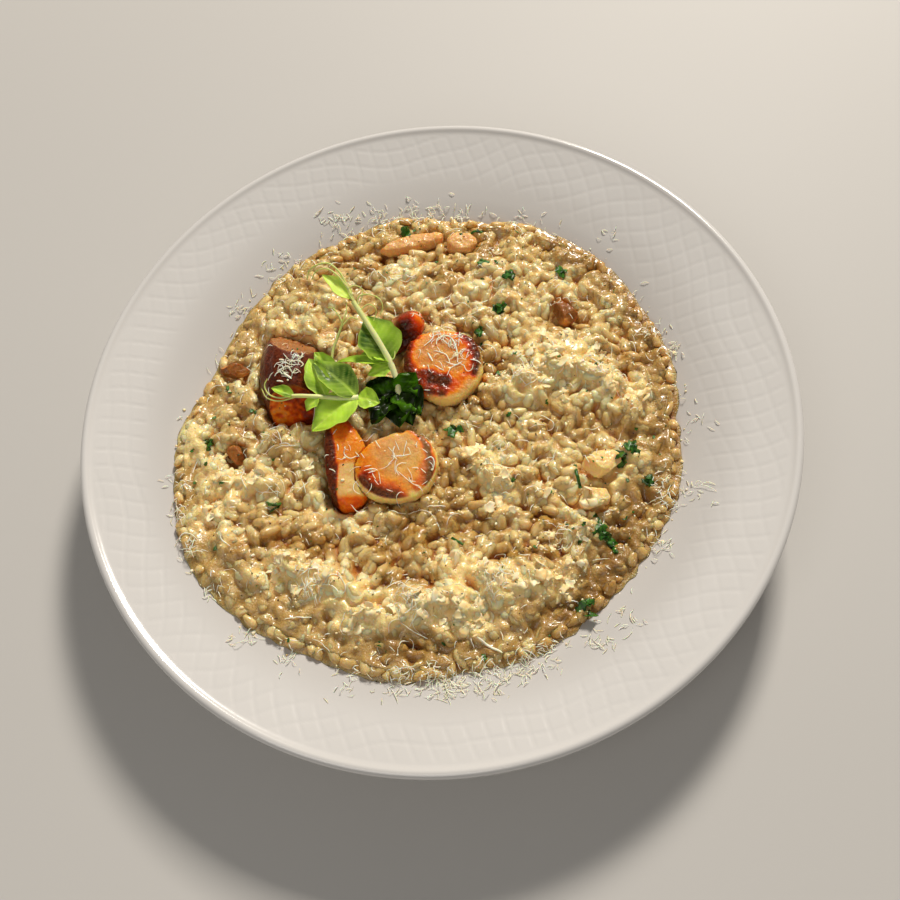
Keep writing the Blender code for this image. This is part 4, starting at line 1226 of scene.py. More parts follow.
def build_pepper(cover):
    """Cracked pepper: small uneven lumps."""
    rng = np.random.default_rng(43)
    around, rings = 6, 3
    points, quads, triangles = [], [], []
    start = 0
    while len(points) < PEPPER_COUNT:
        x, y = rng.uniform(-STREWN_HALF, STREWN_HALF, 2)
        if inset(x, y) < 2:
            continue
        size = rng.uniform(0.12, 0.36)
        turns = np.arange(around) * 2 * math.pi / around
        layer = []
        for ring in range(1, rings + 1):
            sweep = math.pi * ring / (rings + 1)
            reach = math.sin(sweep) * size * rng.uniform(0.7, 1.2, around)
            layer.append(rows(reach * np.cos(turns), reach * np.sin(turns),
                              np.full(around, math.cos(sweep) * size * 0.8)))
        layer.append([[0, 0, size * 0.8], [0, 0, -size * 0.8]])
        level = float(sample(cover, x, y)) + 0.3 * size
        points.append(np.concatenate(layer) + (x, y, level))
        for ring in range(rings - 1):
            quads.append(band(start + ring * around, start + (ring + 1) * around, around))
        top = start + rings * around
        triangles.append(closing_fan(top, start, around, True))
        triangles.append(closing_fan(top + 1, top - around, around, False))
        start = top + 2
    new_piece("ground_pepper", np.concatenate(points),
              [np.concatenate(quads), np.concatenate(triangles)],
              speck_finish("ground_pepper", srgb(30, 20, 16), srgb(92, 62, 40), 0.5, 1500.0),
              "ground_pepper")


def thread_line(rng, x, y, length, curl, cover):
    """The line of one shred of cheese that follows what it lies on."""
    count = max(int(length / THREAD_STEP), 3) + 1
    heading = rng.uniform(0, 2 * math.pi)
    bend = rng.normal(0, 1) * curl
    turning = bend + rng.normal(0, 0.22 + curl * 0.3, count)
    headings = heading + np.cumsum(turning) * THREAD_STEP / 1.6
    steps = rows(np.cos(headings), np.sin(headings)) * THREAD_STEP
    line = np.array([x, y]) + np.cumsum(steps, axis=0) - steps.sum(axis=0) / 2
    level = sample(cover, line[:, 0], line[:, 1])
    widest = np.maximum(level, np.maximum(np.roll(level, 1), np.roll(level, -1)))
    widest[0], widest[-1] = level[0], level[-1]
    eased = np.convolve(np.pad(widest, 1, mode="edge"), (0.25, 0.5, 0.25), mode="valid")
    rise = rng.gamma(1.2, 0.35) * np.sin(np.linspace(0, math.pi, count))
    return rows(line[:, 0], line[:, 1], np.maximum(eased, level) + 0.2 + rise)


def tube_points(line, radii, sides, flat=1.0):
    """Rings of points round a line, kept from twisting; flat squashes them."""
    ahead = np.gradient(line, axis=0)
    ahead /= np.linalg.norm(ahead, axis=1, keepdims=True)
    up = np.array([0.0, 0.0, 1.0])
    if abs(ahead[0] @ up) > 0.9:
        up = np.array([1.0, 0.0, 0.0])
    turns = np.arange(sides) * 2 * math.pi / sides
    rings = []
    for place, way, radius in zip(line, ahead, radii):
        across = np.cross(way, up)
        across /= np.linalg.norm(across)
        up = np.cross(across, way)
        rings.append(place + radius * (np.outer(np.cos(turns), across)
                                       + flat * np.outer(np.sin(turns), up)))
    return np.concatenate(rings)


def tube_faces(start, rings, sides):
    """Quads along a tube and its two end caps as triangles."""
    quads = [band(start + ring * sides, start + (ring + 1) * sides, sides)
             for ring in range(rings - 1)]
    last = start + (rings - 1) * sides
    caps = [rows(np.full(sides - 2, base), base + np.arange(1, sides - 1),
                 base + np.arange(2, sides)) for base in (start, last)]
    return np.concatenate(quads), np.concatenate([caps[0][:, ::-1], caps[1]])


def build_cheese(cover):
    """Finely grated hard cheese: curled shreds in small heaps and strewn about."""
    rng = np.random.default_rng(47)
    places = [(x + rng.normal(0, spread * 0.6), y + rng.normal(0, spread * 0.6))
              for x, y, spread, count in CHEESE_HEAPS for _ in range(int(count * HEAP_FILL))]
    heaped = len(places)
    while len(places) < heaped + CHEESE_LOOSE:
        x, y = rng.uniform(-CHEESE_HALF, CHEESE_HALF, 2)
        if inset(x, y) > -6:
            places.append((x, y))
    threads = []
    for x, y in places:
        usual = 1.6 if inset(x, y) > 4 else 1.15
        length = np.clip(rng.gamma(2.0, usual), 1.4, 12)
        threads.append((THREAD_WIDTH * rng.uniform(0.5, 1.1),
                        thread_line(rng, x, y, length, rng.uniform(0.1, 0.65), cover)))
    for width, route in CHEESE_CURLS:
        line = smooth_route([(*place, 0.0) for place in route], THREAD_STEP)
        line[:, 2] = sample(cover, line[:, 0], line[:, 1]) + 0.25 + width / 4
        threads.append((width, line))
    points, quads, caps = [], [], []
    start, sides = 0, 4
    for width, line in threads:
        share = np.linspace(0, 1, len(line))
        radii = width / 2 * (0.45 + 0.55 * np.sin(math.pi * share) ** 0.4)
        points.append(tube_points(line, radii, sides, 0.45))
        faces, ends = tube_faces(start, len(line), sides)
        quads.append(faces)
        caps.append(ends)
        start += len(line) * sides
    new_piece("grated_cheese", np.concatenate(points),
              [np.concatenate(quads), np.concatenate(caps)],
              speck_finish("grated_cheese", srgb(255, 240, 204), srgb(255, 253, 236), 0.45,
                           260.0),
              "grated_cheese")


def build_crumbs(cover, bed):
    """Tiny crumbs of cheese, thickest on the crests of the rice."""
    rng = np.random.default_rng(67)
    ball, (quads, caps) = ball_points(6, 3), ball_faces(6, 3)
    points = []
    while len(points) < CRUMB_COUNT:
        x, y = rng.uniform(-CHEESE_HALF, CHEESE_HALF, 2)
        if len(points) % 5 < 2:
            middle_x, middle_y, wide, deep = MELTED[rng.integers(len(MELTED))]
            x, y = middle_x + rng.normal(0, wide * 0.8), middle_y + rng.normal(0, deep * 0.8)
        on_topping = not np.isnan(sample(bed.toppings, x, y))
        if inset(x, y) < -3 or on_topping and rng.uniform() > 0.15:
            continue
        size = np.clip(rng.gamma(4.0, 0.08), 0.16, 0.75)
        lump = ball * rng.uniform(0.7, 1.25, (len(ball), 1)) * (1.3, 1.0, 0.8) * size
        twist = turn_matrix(rng.uniform(0, math.pi), rng.normal(0, 0.5), 0)
        points.append(lump @ twist.T + (x, y, float(sample(cover, x, y)) + 0.4 * size))
    new_piece("cheese_crumbs", np.concatenate(points),
              copied_faces((quads, caps), len(points), len(ball)),
              speck_finish("cheese_crumbs", srgb(255, 226, 160), srgb(255, 248, 220), 0.35,
                           300.0), "grated_cheese")


def ball_points(around, rings):
    """Points of a ball of radius 1, rings from its top down and two poles."""
    turns = np.arange(around) * 2 * math.pi / around
    layers = []
    for ring in range(1, rings + 1):
        sweep = math.pi * ring / (rings + 1)
        layers.append(rows(math.sin(sweep) * np.cos(turns), math.sin(sweep) * np.sin(turns),
                           np.full(around, math.cos(sweep))))
    return np.concatenate(layers + [[[0, 0, 1], [0, 0, -1]]])


def ball_faces(around, rings):
    quads = [band(ring * around, (ring + 1) * around, around) for ring in range(rings - 1)]
    top = around * rings
    caps = [closing_fan(top, 0, around, True),
            closing_fan(top + 1, top - around, around, False)]
    return np.concatenate(quads), np.concatenate(caps)


def build_shards(cover):
    """Torn, curled flakes of cheese that stand up along the crests."""
    rng = np.random.default_rng(59)
    around, rings = 12, 3
    turns = np.arange(around) * 2 * math.pi / around
    points, quads, triangles = [], [], []
    start = 0
    for x, y, wide, deep in MELTED:
        for _ in range(int(wide * deep * SHARD_SHARE) + 1):
            turn, away = rng.uniform(0, 2 * math.pi), rng.uniform(0.2, 1.15)
            place_x = x + wide * away * math.cos(turn)
            place_y = y + deep * away * math.sin(turn)
            level = float(sample(cover, place_x, place_y)) + rng.uniform(0.0, 0.7)
            size = rng.uniform(0.9, 2.4)
            torn = rng.uniform(0.55, 1.25, around)
            cup, half = rng.uniform(-0.25, 0.45), rng.uniform(0.14, 0.3)
            tilt = turn_matrix(rng.uniform(0, 2 * math.pi), rng.normal(0, 0.55),
                               rng.normal(0, 0.55))
            for side in (1, -1):
                layer = [[[0, 0, side * half]]]
                for ring in range(1, rings + 1):
                    reach = size * ring / rings * (1 + (torn - 1) * (ring / rings) ** 2)
                    lift = cup * (ring / rings) ** 2 * size + side * half * (1.3 - ring / rings)
                    layer.append(rows(1.3 * reach * np.cos(turns), reach * np.sin(turns),
                                      np.full(around, lift)))
                points.append(np.concatenate(layer) @ tilt.T + (place_x, place_y, level))
            sides, fans = flake_faces(start, around, rings)
            quads += sides
            triangles += fans
            start += 2 * (1 + rings * around)
    new_piece("cheese_shards", np.concatenate(points),
              [np.concatenate(quads), np.concatenate(triangles)],
              speck_finish("cheese_shards", srgb(255, 224, 160), srgb(255, 242, 206), 0.3,
                           300.0), "grated_cheese")


def build_melted_cheese(cover):
    """Crumbly lumps of half-melted cheese, run together on the crests of the rice."""
    rng = np.random.default_rng(53)
    ball, (quads, caps) = ball_points(10, 6), ball_faces(10, 6)
    lumps = []
    for x, y, wide, deep in MELTED:
        for _ in range(int(wide * deep * LUMP_SHARE) + 2):
            turn, away = rng.uniform(0, 2 * math.pi), math.sqrt(rng.uniform(0, 1))
            reach = (2.3 - 1.4 * away ** 2) * rng.uniform(0.7, 1.25)
            lumps.append((x + wide * away * math.cos(turn), y + deep * away * math.sin(turn),
                          reach))
        for turn in rng.uniform(0, 2 * math.pi, int(2.5 * (wide + deep))):
            out = rng.uniform(0.95, 1.25)
            lumps.append((x + out * wide * math.cos(turn), y + out * deep * math.sin(turn),
                          rng.uniform(0.5, 0.9)))
    points = []
    for x, y, reach in lumps:
        level = float(sample(cover, x, y)) - 0.5
        stretch = reach * np.array((rng.uniform(0.9, 1.6), rng.uniform(0.6, 0.9), 0.5))
        twist = turn_matrix(rng.uniform(0, math.pi), rng.normal(0, 0.35), 0)
        points.append((ball * stretch) @ twist.T + (x, y, level))
    mass = new_piece("cheese_mass", np.concatenate(points),
                     copied_faces((quads, caps), len(lumps), len(ball)),
                     speck_finish("melted_cheese", srgb(255, 214, 140),
                                  srgb(255, 238, 190), 0.3, 320.0), "grated_cheese")
    piece = fine_copy(mass, "melted_cheese", 0.56, 1)
    points, normals = read_points(piece), read_normals(piece)
    rough_up(piece, points, normals, 0.4, 0.5, 31.0)
    dress(piece, mass.data.materials[0], "grated_cheese")
    bpy.data.objects.remove(mass)


# ------------------------------------------------------------------ mushrooms

def fine_copy(shape, name, cell, rounds):
    """A copy of an object, its mesh made anew in cells of so many mm and smoothed."""
    piece = bpy.data.objects.new(name, shape.data.copy())
    bpy.context.scene.collection.objects.link(piece)
    weld = piece.modifiers.new("weld", "WELD")
    weld.merge_threshold = 0.00001
    remesh = piece.modifiers.new("remesh", "REMESH")
    remesh.mode = "VOXEL"
    remesh.voxel_size = cell * MM
    smooth = piece.modifiers.new("smooth", "SMOOTH")
    smooth.factor = 0.5
    smooth.iterations = rounds
    graph = bpy.context.evaluated_depsgraph_get()
    mesh = bpy.data.meshes.new_from_object(piece.evaluated_get(graph))
    piece.modifiers.clear()
    piece.data = mesh
    mesh.shade_smooth()
    return piece


def read_points(piece):
    values = np.empty(len(piece.data.vertices) * 3, np.float32)
    piece.data.vertices.foreach_get("co", values)
    return values.reshape(-1, 3).astype(float) / MM


def read_normals(piece):
    values = np.empty(len(piece.data.vertices) * 3, np.float32)
    piece.data.vertex_normals.foreach_get("vector", values)
    return values.reshape(-1, 3).astype(float)


def write_points(piece, points):
    piece.data.vertices.foreach_set("co", (points * MM).astype(np.float32).ravel())
    piece.data.update()


def blob(points, x, y, wide, deep):
    """A soft spot in plan, 1 in its middle."""
    return np.exp(-((points[:, 0] - x) / wide) ** 2 - ((points[:, 1] - y) / deep) ** 2)


def arc(angle, middle, half, soft=14):
    """A stretch round an outline in degrees, 1 inside and soft at its ends."""
    off = np.abs((np.degrees(angle) - middle + 180) % 360 - 180)
    return 1 - smoothstep(off, half - soft, half + soft)


def outline_share(points, middle, half):
    """Angle and distance from a piece's middle, as a share of its half sizes."""
    u = (points[:, 0] - middle[0]) / half[0]
    v = (points[:, 1] - middle[1]) / half[1]
    return np.arctan2(v, u), np.hypot(u, v)


def chip_flat(points, count, seed):
    """Points of a rounded piece, pressed flat against a few planes cut through it."""
    rng = np.random.default_rng(seed)
    middle = points.mean(axis=0)
    for _ in range(count):
        way = rng.normal(size=3)
        way /= np.linalg.norm(way)
        reach = (points - middle) @ way
        limit = rng.uniform(0.6, 0.82) * reach.max()
        points = points - np.outer(np.maximum(reach - limit, 0), way)
    return points


def rough_up(piece, points, normals, coarse, fine, seed, where=1.0):
    """Pushes points in and out for dents of about 4 mm and wrinkles of about 1 mm."""
    shift = coarse * knobbly(points, 4.2, seed) + fine * knobbly(points, 1.1, seed + 5)
    write_points(piece, points + normals * (shift * where)[:, None])


def painted(points, strokes, seed):
    """Strokes of (strength, width, route) laid over each other with uneven edges."""
    strayed = points.copy()
    strayed[:, 0] += 1.0 * knobbly(points, 3.2, seed)
    strayed[:, 1] += 1.0 * knobbly(points, 3.2, seed + 7)
    return laid_over(strayed, strokes)


def start_mushroom(node, name, cell, rounds):
    """A fine copy of a mushroom's solid, with its points in mm and its normals."""
    piece = fine_copy(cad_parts[node], name, cell, rounds)
    return piece, read_points(piece), read_normals(piece)


def finish_mushroom(piece, node, material, slot, browning, pale, skin):
    """Gives a piece its material and its shares at each point, and hides the node it replaces.
    """
    count = len(piece.data.vertices)
    dress(piece, material, slot, browning=np.clip(browning, 0, 1),
          pale=np.clip(pale, 0, 1), skin=np.broadcast_to(skin, count))
    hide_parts(node)


def build_slice_right(material):
    node = "mushroom_slice_right"
    piece, points, normals = start_mushroom(node, "seared_slice_right", 0.55, 6)
    low, high = (np.array(corner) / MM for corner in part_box(node))
    angle, share = outline_share(points, (low + high)[:2] / 2, (high - low)[:2] / 2)
    up = smoothstep(normals[:, 2], 0.25, 0.8)
    browning = painted(points, SEARED_RIGHT, 3.0) + 0.08 * knobbly(points, 2.2, 4.0)
    pale = arc(angle, -68, 62) * smoothstep(share, 0.84, 0.95)
    # painted glow: the slice's sides turned from the light are made pale as though lit through,
    # over its real pale outer rim
    pale = np.maximum(pale * (1 - up * 0.25), 0.55 * (1 - up) * arc(angle, -60, 75))
    rough_up(piece, points, normals, 0.45, 0.24 + 0.26 * np.clip(browning, 0, 1), 3.0)
    finish_mushroom(piece, node, material, "seared_mushroom", browning, pale, 0.0)


def build_slice_front(material):
    node = "mushroom_slice_front"
    piece, points, normals = start_mushroom(node, "seared_slice_front", 0.55, 6)
    low, high = (np.array(corner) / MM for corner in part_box(node))
    angle, share = outline_share(points, (low + high)[:2] / 2, (high - low)[:2] / 2)
    up = smoothstep(normals[:, 2], 0.25, 0.8)
    browning = painted(points, SEARED_FRONT, 9.0) + 0.06 * knobbly(points, 2.2, 5.0)
    side = smoothstep(share, 0.93, 0.98) * arc(angle, -75, 95)
    pale = np.maximum(side, 0.9 * blob(points, -13.6, -32.8, 2.0, 1.8))
    pale = np.maximum(pale, 0.45 * (1 - up) * arc(angle, 40, 40))
    pale = np.maximum(pale, 0.5 * blob(points, -14.0, -18.0, 8.5, 10.0))
    points = points - normals * 1.4 * blob(points, -13.4, -5.6, 1.9, 2.2)[:, None]
    rough_up(piece, points, normals, 0.4, 0.2 + 0.26 * np.clip(browning, 0, 1), 9.0)
    finish_mushroom(piece, node, material, "seared_mushroom", browning, pale, 0.0)


def build_wedge_front(material):
    node = "mushroom_wedge_front"
    piece, points, normals = start_mushroom(node, "seared_wedge_front", 0.5, 5)
    points[:, 0] = np.maximum(points[:, 0], WEDGE_LEFT + 0.2 * (points[:, 0] - WEDGE_LEFT))
    x, y = points[:, 0], points[:, 1]
    left = -40.8 - 0.013 * (y + 15) ** 2 + 0.13 * (y + 15)
    border = -40.4 + 0.2 * (y + 19)
    skin = smoothstep(left - x, -1.2, 0.6)
    skin = np.maximum(skin, smoothstep(border - x, -1.0, 0.8) * smoothstep(-y, 14.5, 18))
    cut = smoothstep(-y, 16.0, 17.5) * smoothstep(x, border, border + 1.4)
    browning = 0.28 + 0.4 * blob(points, -30.5, 3.0, 5, 5) + 0.1 * blob(points, -36, -2, 5, 5)
    browning = browning * (1 - cut) + 0.02 * cut
    browning += 0.42 * smoothstep(-y, 27.5, 30.5)
    browning += 0.6 * skin
    rough_up(piece, points, normals, 0.4, 0.22, 13.0)
    pale = 0.55 * cut * (1 - smoothstep(-y, 27.5, 30.5))
    finish_mushroom(piece, node, material, "seared_mushroom", browning, pale, 0.25 * skin)


def build_wedge_back(material):
    node = "mushroom_wedge_back"
    piece, points, normals = start_mushroom(node, "seared_wedge_back", 0.5, 5)
    browning = 0.72 - 0.34 * blob(points, 0.0, 40.0, 4.0, 5.0)
    browning += 0.2 * blob(points, -9.0, 36.0, 4.0, 5.0)
    pale = 0.6 * blob(points, -12.5, 40.5, 2.6, 5.0)
    rough_up(piece, points, normals, 0.4, 0.25, 17.0)
    skin = 0.5 * blob(points, -9.0, 34.0, 4.0, 4.0)
    finish_mushroom(piece, node, material, "seared_mushroom", browning, pale, skin)


def build_cap_wedge(material):
    """The thick cap wedge: dark skin, a spongy cut face behind, a seared one in front."""
    node = "mushroom_cap_wedge"
    piece, points, normals = start_mushroom(node, "seared_cap_wedge", 0.6, 5)
    turn = math.radians(4)
    back = np.array([0.42 * math.cos(turn) - 0.66 * math.sin(turn),
                     0.42 * math.sin(turn) + 0.66 * math.cos(turn), 0.62])
    front = np.array([-0.14 * math.cos(turn) + 0.86 * math.sin(turn),
                      -0.14 * math.sin(turn) - 0.86 * math.cos(turn), 0.50])
    cut = smoothstep(normals @ (back / np.linalg.norm(back)), 0.93, 0.985)
    cut = cut * smoothstep(points[:, 1], 22, 30)
    sear = smoothstep(normals @ (front / np.linalg.norm(front)), 0.9, 0.98)
    sear = sear * smoothstep(-points[:, 1], -20, -16)
    skin = (1 - cut) * (1 - sear)
    browning = 0.03 * cut + sear * (0.68 - 0.36 * blob(points, -60.0, 12.5, 6.5, 5.0))
    pores = smoothstep(knobbly(points, 1.3, 2.0), -0.1, 0.45)
    skin = np.maximum(skin, 0.5 * cut * pores)
    shift = 0.35 * knobbly(points, 5.0, 4.0) + 0.16 * knobbly(points, 1.4, 6.0)
    shift -= 0.55 * cut * pores
    shift += 0.35 * sear * knobbly(points, 1.6, 8.0)
    browning += 0.05 * cut * pores + 0.25 * sear * knobbly(points, 1.8, 12.0)
    write_points(piece, points + normals * shift[:, None])
    pale = 0.3 * cut * (1 - pores)
    finish_mushroom(piece, node, material, "mushroom_skin", browning, pale, skin)


def build_small_mushrooms(browned, pale):
    """The chips, strips and dice that are half sunk in the rice."""
    for index, node in enumerate(CHIPS + PALE):
        is_pale = node in PALE
        name = node.replace("mushroom", "sunken")
        piece, points, normals = start_mushroom(node, name, 0.4, 2)
        middle = points.mean(axis=0)
        away = (points - middle) / np.ptp(points, axis=0)
        streak = 0.5 + 0.5 * np.sin(points[:, 0] / 1.7 + 2 * knobbly(points, 6.0, index))
        if is_pale:
            # painted shadow: these pieces are browner towards their right ends
            browning = 0.04 + 0.16 * streak * smoothstep(away[:, 0], 0.1, 0.5)
            pale_share = (0.85 if "dice" in node else 0.25) + 0.15 * streak
        else:
            browning = 0.03 + 0.2 * smoothstep(np.abs(away[:, 1]), 0.25, 0.5) * streak
            pale_share = 0.3 * streak
        if "strip" not in node:
            points = chip_flat(points, 9, 80 + index)
        rough_up(piece, points, normals, 0.6, 0.3, 20.0 + index)
        material = pale if is_pale else browned
        slot = "pale_mushroom" if is_pale else "browned_mushroom"
        finish_mushroom(piece, node, material, slot, browning, pale_share,
                        0.0 if is_pale else 0.12)


# ------------------------------------------------------------------ pea shoots

def smooth_route(points, step):
    """Points about a step apart on the curve through the given ones."""
    given = np.array(points, float)
    ends = np.concatenate([[2 * given[0] - given[1]], given, [2 * given[-1] - given[-2]]])
    route = []
    for a, b, c, d in zip(ends, ends[1:], ends[2:], ends[3:]):
        spans = max(int(math.ceil(np.linalg.norm(c - b) / step)), 1)
        t = (np.arange(spans) / spans)[:, None]
        route.append(0.5 * (2 * b + (c - a) * t + (2 * a - 5 * b + 4 * c - d) * t ** 2
                            + (3 * b - a - 3 * c + d) * t ** 3))
    return np.concatenate(route + [given[-1:]])


def leaf_width(share):
    """Half-width of an oval, pointed leaf, at a share of the way to its tip."""
    return np.sin(math.pi * np.clip(share, 0, 1) ** 0.8) ** 0.85


def leaf_points(base, tip, width, cup, arch, roll, seed, crumple):
    """A leaf as a fine cupped sheet: its points, and how much each lies on a vein."""
    base, tip = np.array(base), np.array(tip)
    along = tip - base
    length = np.linalg.norm(along)
    side = np.cross(along, (0, 0, 1.0))
    side /= np.linalg.norm(side)
    side = np.array(Matrix.Rotation(math.radians(roll), 3, Vector(along)) @ Vector(side))
    face = np.cross(side, along)
    face /= np.linalg.norm(face)
    lengthwise = int(np.clip(length * 2.4, 16, 44))
    crosswise = int(np.clip(width * 1.9, 8, 26))
    share, across = np.meshgrid(np.linspace(0, 1, lengthwise),
                                np.linspace(-1, 1, crosswise), indexing="ij")
    rng = np.random.default_rng(seed)
    wave = rng.uniform(0, 6, 4)
    edge = 1 + 0.05 * np.sin(share * 14 + wave[0]) * np.sign(across)
    edge += 0.03 * np.sin(share * 25 + wave[1])
    reach = leaf_width(share) * width / 2 * edge + 0.25 * (1 - share)
    ribs = max(int(length / 2.6), 3)
    rib = (share * 1.15 - np.abs(across) * 0.24) * ribs
    rib_line = bump((rib + 0.5) % 1 - 0.5, 0.12) * smoothstep(np.abs(across), 0.02, 0.12)
    middle_line = bump(across * reach, 0.28)
    vein = np.maximum(0.7 * middle_line, 0.17 * rib_line * (1 - smoothstep(share, 0.7, 0.9)))
    vein = np.maximum(vein, 0.45 * smoothstep(np.abs(across), 0.86, 1.0))
    lift = cup * across ** 2 * leaf_width(share) + arch * np.sin(math.pi * share)
    lift += 0.05 * width / 12 * np.cos((rib + 0.5) * 2 * math.pi) * (1 - np.abs(across))
    lift -= 0.22 * middle_line
    lift += (0.35 + crumple) * np.sin(share * 9 + wave[2]) * np.abs(across) ** 3
    lift += crumple * np.sin(share * 7 + across * 3 + wave[3])
    lift += (0.12 + 0.5 * crumple) * np.sin(share * 17 - across * 6 + wave[1])
    points = (base + share[..., None] * along + (across * reach)[..., None] * side
              + lift[..., None] * face)
    glow = 0.38 * np.sin(share * 5 + 2.6 * across + wave[0]) + 0.3 * bump(across, 0.2)
    glow += 0.2 * (1 - share) * np.sign(rng.uniform(-1, 1))
    return points, vein, glow, face


def build_leaves(name, node, leaves, material, crumple, seed):
    """One piece of leaves, each closed with a thin edge."""
    points, quads, veins, fresh = [], [], [], []
    start = 0
    for index, (base, tip, width, cup, arch, roll, freshness) in enumerate(leaves):
        sheet, vein, glow, face = leaf_points(base, tip, width, cup, arch, roll,
                                              seed + index, crumple)
        lengthwise, crosswise = vein.shape
        count = lengthwise * crosswise
        at = np.arange(count).reshape(lengthwise, crosswise)
        upper = rows(at[:-1, :-1], at[:-1, 1:], at[1:, 1:], at[1:, :-1])
        border = np.concatenate([at[0, :-1], at[:-1, -1], at[-1, :0:-1], at[:0:-1, 0]])
        following = np.roll(border, -1)
        rim = rows(following, border, border + count, following + count)
        quads.append(start + np.concatenate([upper[:, ::-1], upper + count, rim]))
        for half in (LEAF_HALF, -LEAF_HALF):
            points.append(sheet.reshape(-1, 3) + face * half)
            pallor = max(freshness - 1, 0)
            veins.append(np.clip(vein.ravel() + pallor, 0, 1) * (1.0 if half > 0 else 0.7))
            fresh.append(np.clip(freshness + glow.ravel(), 0, 1))
        start += 2 * count
    piece = new_piece(name, np.concatenate(points), [np.concatenate(quads)], material,
                      "pea_shoot", vein=np.concatenate(veins),
                      freshness=np.concatenate(fresh))
    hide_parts(node)


def build_stems(name, node, stem, radii, tendrils, material):
    """A stem and its tendrils as tapering tubes."""
    points, quads, caps, fresh = [], [], [], []
    start = 0
    for first, last, route in ((*radii, stem),) + tuple(tendrils):
        line = smooth_route(route, TUBE_STEP)
        sides = 14 if route is stem else 8
        taper = np.linspace(0, 1, len(line))
        width = first + (last - first) * taper
        width = width * (1 + 0.04 * np.sin(taper * 23))
        points.append(tube_points(line, width, sides))
        faces, ends = tube_faces(start, len(line), sides)
        quads.append(faces)
        caps.append(ends)
        youngest = 0.85 if route is stem else 0.35
        fresh.append(np.repeat(youngest * (1 - 0.6 * taper), sides))
        start += len(line) * sides
    piece = new_piece(name, np.concatenate(points),
                      [np.concatenate(quads), np.concatenate(caps)], material, "pea_shoot",
                      vein=np.zeros(start), freshness=np.concatenate(fresh))
    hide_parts(node)


# ------------------------------------------------------------------ stage

def build_floor():
    finish = Finish("pale_floor", {"Roughness": 0.6, "IOR": 1.4})
    cloud = finish.effect(MOTTLING, "Mask", Size=3.0, Contrast=1.0)
    finish.feed("Base Color", finish.mix(cloud, srgb(194, 191, 187), srgb(200, 197, 193)))
    half = FLOOR_HALF
    corners = [(-half, -half, 0), (half, -half, 0), (half, half, 0), (-half, half, 0)]
    mesh = bpy.data.meshes.new("floor")
    mesh.from_pydata(corners, [], [(0, 1, 2, 3)])
    mesh.materials.append(finish.material)
    floor = bpy.data.objects.new("floor", mesh)
    bpy.context.scene.collection.objects.link(floor)
    floor.location.z = -0.0002


def add_lamp(name, azimuth, elevation, distance, size, power, colour):
    """A soft square lamp that faces the food; azimuth 0 is behind it, 90 at its right."""
    lamp = bpy.data.lights.new(name, "AREA")
    lamp.shape = "SQUARE"
    lamp.size = size
    lamp.energy = power
    lamp.color = colour
    turn, lift = math.radians(azimuth), math.radians(elevation)
    away = Vector((math.sin(turn) * math.cos(lift), math.cos(turn) * math.cos(lift),
                   math.sin(lift)))
    holder = bpy.data.objects.new(name, lamp)
    bpy.context.scene.collection.objects.link(holder)
    holder.location = away * distance + Vector((0, 0, 0.03))
    holder.rotation_euler = away.to_track_quat("Z", "Y").to_euler()


def build_light():
    add_lamp("window_light", **WINDOW_LIGHT)
    add_lamp("fill_light", **FILL_LIGHT)
    world = bpy.data.worlds.new("room")
    world.use_nodes = True
    background = world.node_tree.nodes["Background"]
    background.inputs["Color"].default_value = ROOM_COLOUR
    background.inputs["Strength"].default_value = ROOM_STRENGTH
    bpy.context.scene.world = world
    bpy.context.scene.view_settings.view_transform = "Standard"


def build_camera():
    """Looks down from the diner's side, turned a little about its own line of sight."""
    elevation, roll = math.radians(CAMERA_ELEVATION), math.radians(CAMERA_ROLL)
    back = Vector((0, -math.cos(elevation), math.sin(elevation)))
    camera = bpy.data.cameras.new("camera")
    camera.sensor_width = 36
    camera.lens = CAMERA_LENS
    camera.clip_start = 0.01
    holder = bpy.data.objects.new("camera", camera)
    bpy.context.scene.collection.objects.link(holder)
    holder.location = Vector(CAMERA_AIM) + back * CAMERA_DISTANCE
    straight = Matrix((Vector((1, 0, 0)), back.cross(Vector((1, 0, 0))), back)).transposed()
    holder.rotation_euler = (straight @ Matrix.Rotation(roll, 3, "Z")).to_euler()
    bpy.context.scene.camera = holder


# ------------------------------------------------------------------ everything

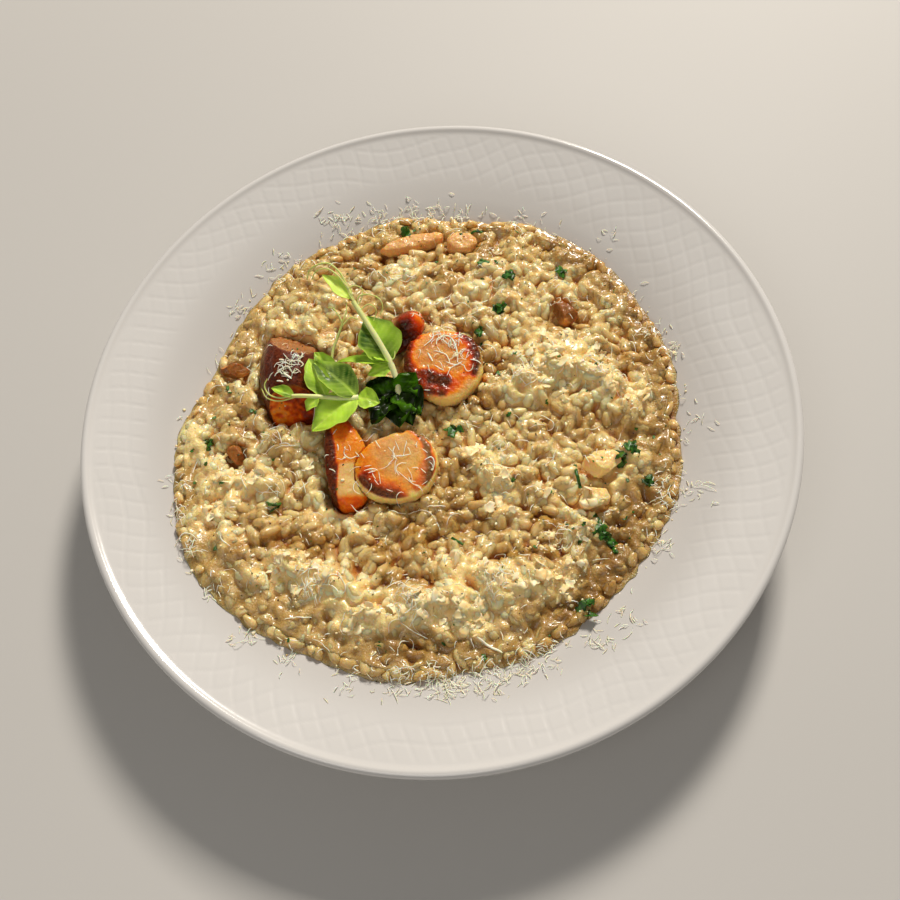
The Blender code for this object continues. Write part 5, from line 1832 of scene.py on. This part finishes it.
def build_shoots():
    leaf = leaf_finish("pea_leaf", srgb(20, 66, 0), srgb(178, 222, 60),
                       srgb(214, 240, 112), 0.5, 0.06)
    # painted shade: the leaves under the tall shoot are dark green, taken almost to black as
    # the shade under the sprig
    wilted = leaf_finish("wilted_pea_leaf", srgb(9, 13, 0), srgb(84, 140, 12),
                         srgb(34, 60, 4), 0.45, 0.1)
    stem = leaf_finish("pea_stem", srgb(196, 206, 84), srgb(255, 255, 200),
                       srgb(250, 252, 190), 0.4, 0.1)
    build_leaves("tall_shoot_leaves", "pea_shoot_tall", TALL_LEAVES, leaf, 0.0, 51)
    build_leaves("wilted_leaves", "pea_shoot_tall", WILTED_LEAVES, wilted, 0.6, 61)
    build_leaves("side_shoot_leaves", "pea_shoot_side", SIDE_LEAVES, leaf, 0.0, 71)
    build_stems("tall_shoot_stem", "pea_shoot_tall", TALL_STEM, STEM_RADII["tall"],
                TALL_TENDRILS, stem)
    build_stems("side_shoot_stem", "pea_shoot_side", SIDE_STEM, STEM_RADII["side"],
                SIDE_TENDRILS, stem)


def build_mushrooms():
    seared = mushroom_finish("seared_mushroom", srgb(255, 212, 130), srgb(206, 158, 108),
                             0.2, 0.012)
    skin = mushroom_finish("mushroom_skin", srgb(176, 132, 92), srgb(130, 84, 52), 0.22,
                           0.002)
    pale = mushroom_finish("pale_mushroom", srgb(255, 218, 150), srgb(198, 144, 86), 0.2,
                           0.003)
    browned = mushroom_finish("browned_mushroom", srgb(150, 100, 50),
                              srgb(122, 72, 28), 0.2, 0.002)
    build_slice_right(seared)
    build_slice_front(seared)
    build_wedge_front(seared)
    build_wedge_back(seared)
    build_cap_wedge(skin)
    build_small_mushrooms(browned, pale)


def build_risotto():
    bed = Bed()
    poses = lay_rice(bed)
    order = np.random.default_rng(19).permutation(len(poses))
    whole = order[:len(order) * 11 // 20]
    burst = order[len(whole):]
    build_grains("whole_rice", poses[whole], WHOLE_RICE, False, bed,
                 rice_finish("whole_rice", srgb(198, 154, 80), srgb(240, 210, 146),
                             srgb(255, 234, 180)))
    build_grains("burst_rice", poses[burst], BURST_RICE, True, bed,
                 rice_finish("burst_rice", srgb(202, 158, 84), srgb(244, 216, 154),
                             srgb(255, 236, 184)))
    sauce = build_core(bed)
    cover = np.maximum(bed.grains, sauce)
    cover = np.where(bed.inset > 0, cover, bed.plate)
    cover = np.fmax(cover, bed.toppings)
    build_melted_cheese(cover)
    build_shards(cover)
    build_cheese(cover)
    build_crumbs(cover, bed)
    build_herbs(cover)
    build_pepper(cover)


build_camera()
build_light()
build_floor()
build_plate()
build_risotto()
build_mushrooms()
build_shoots()
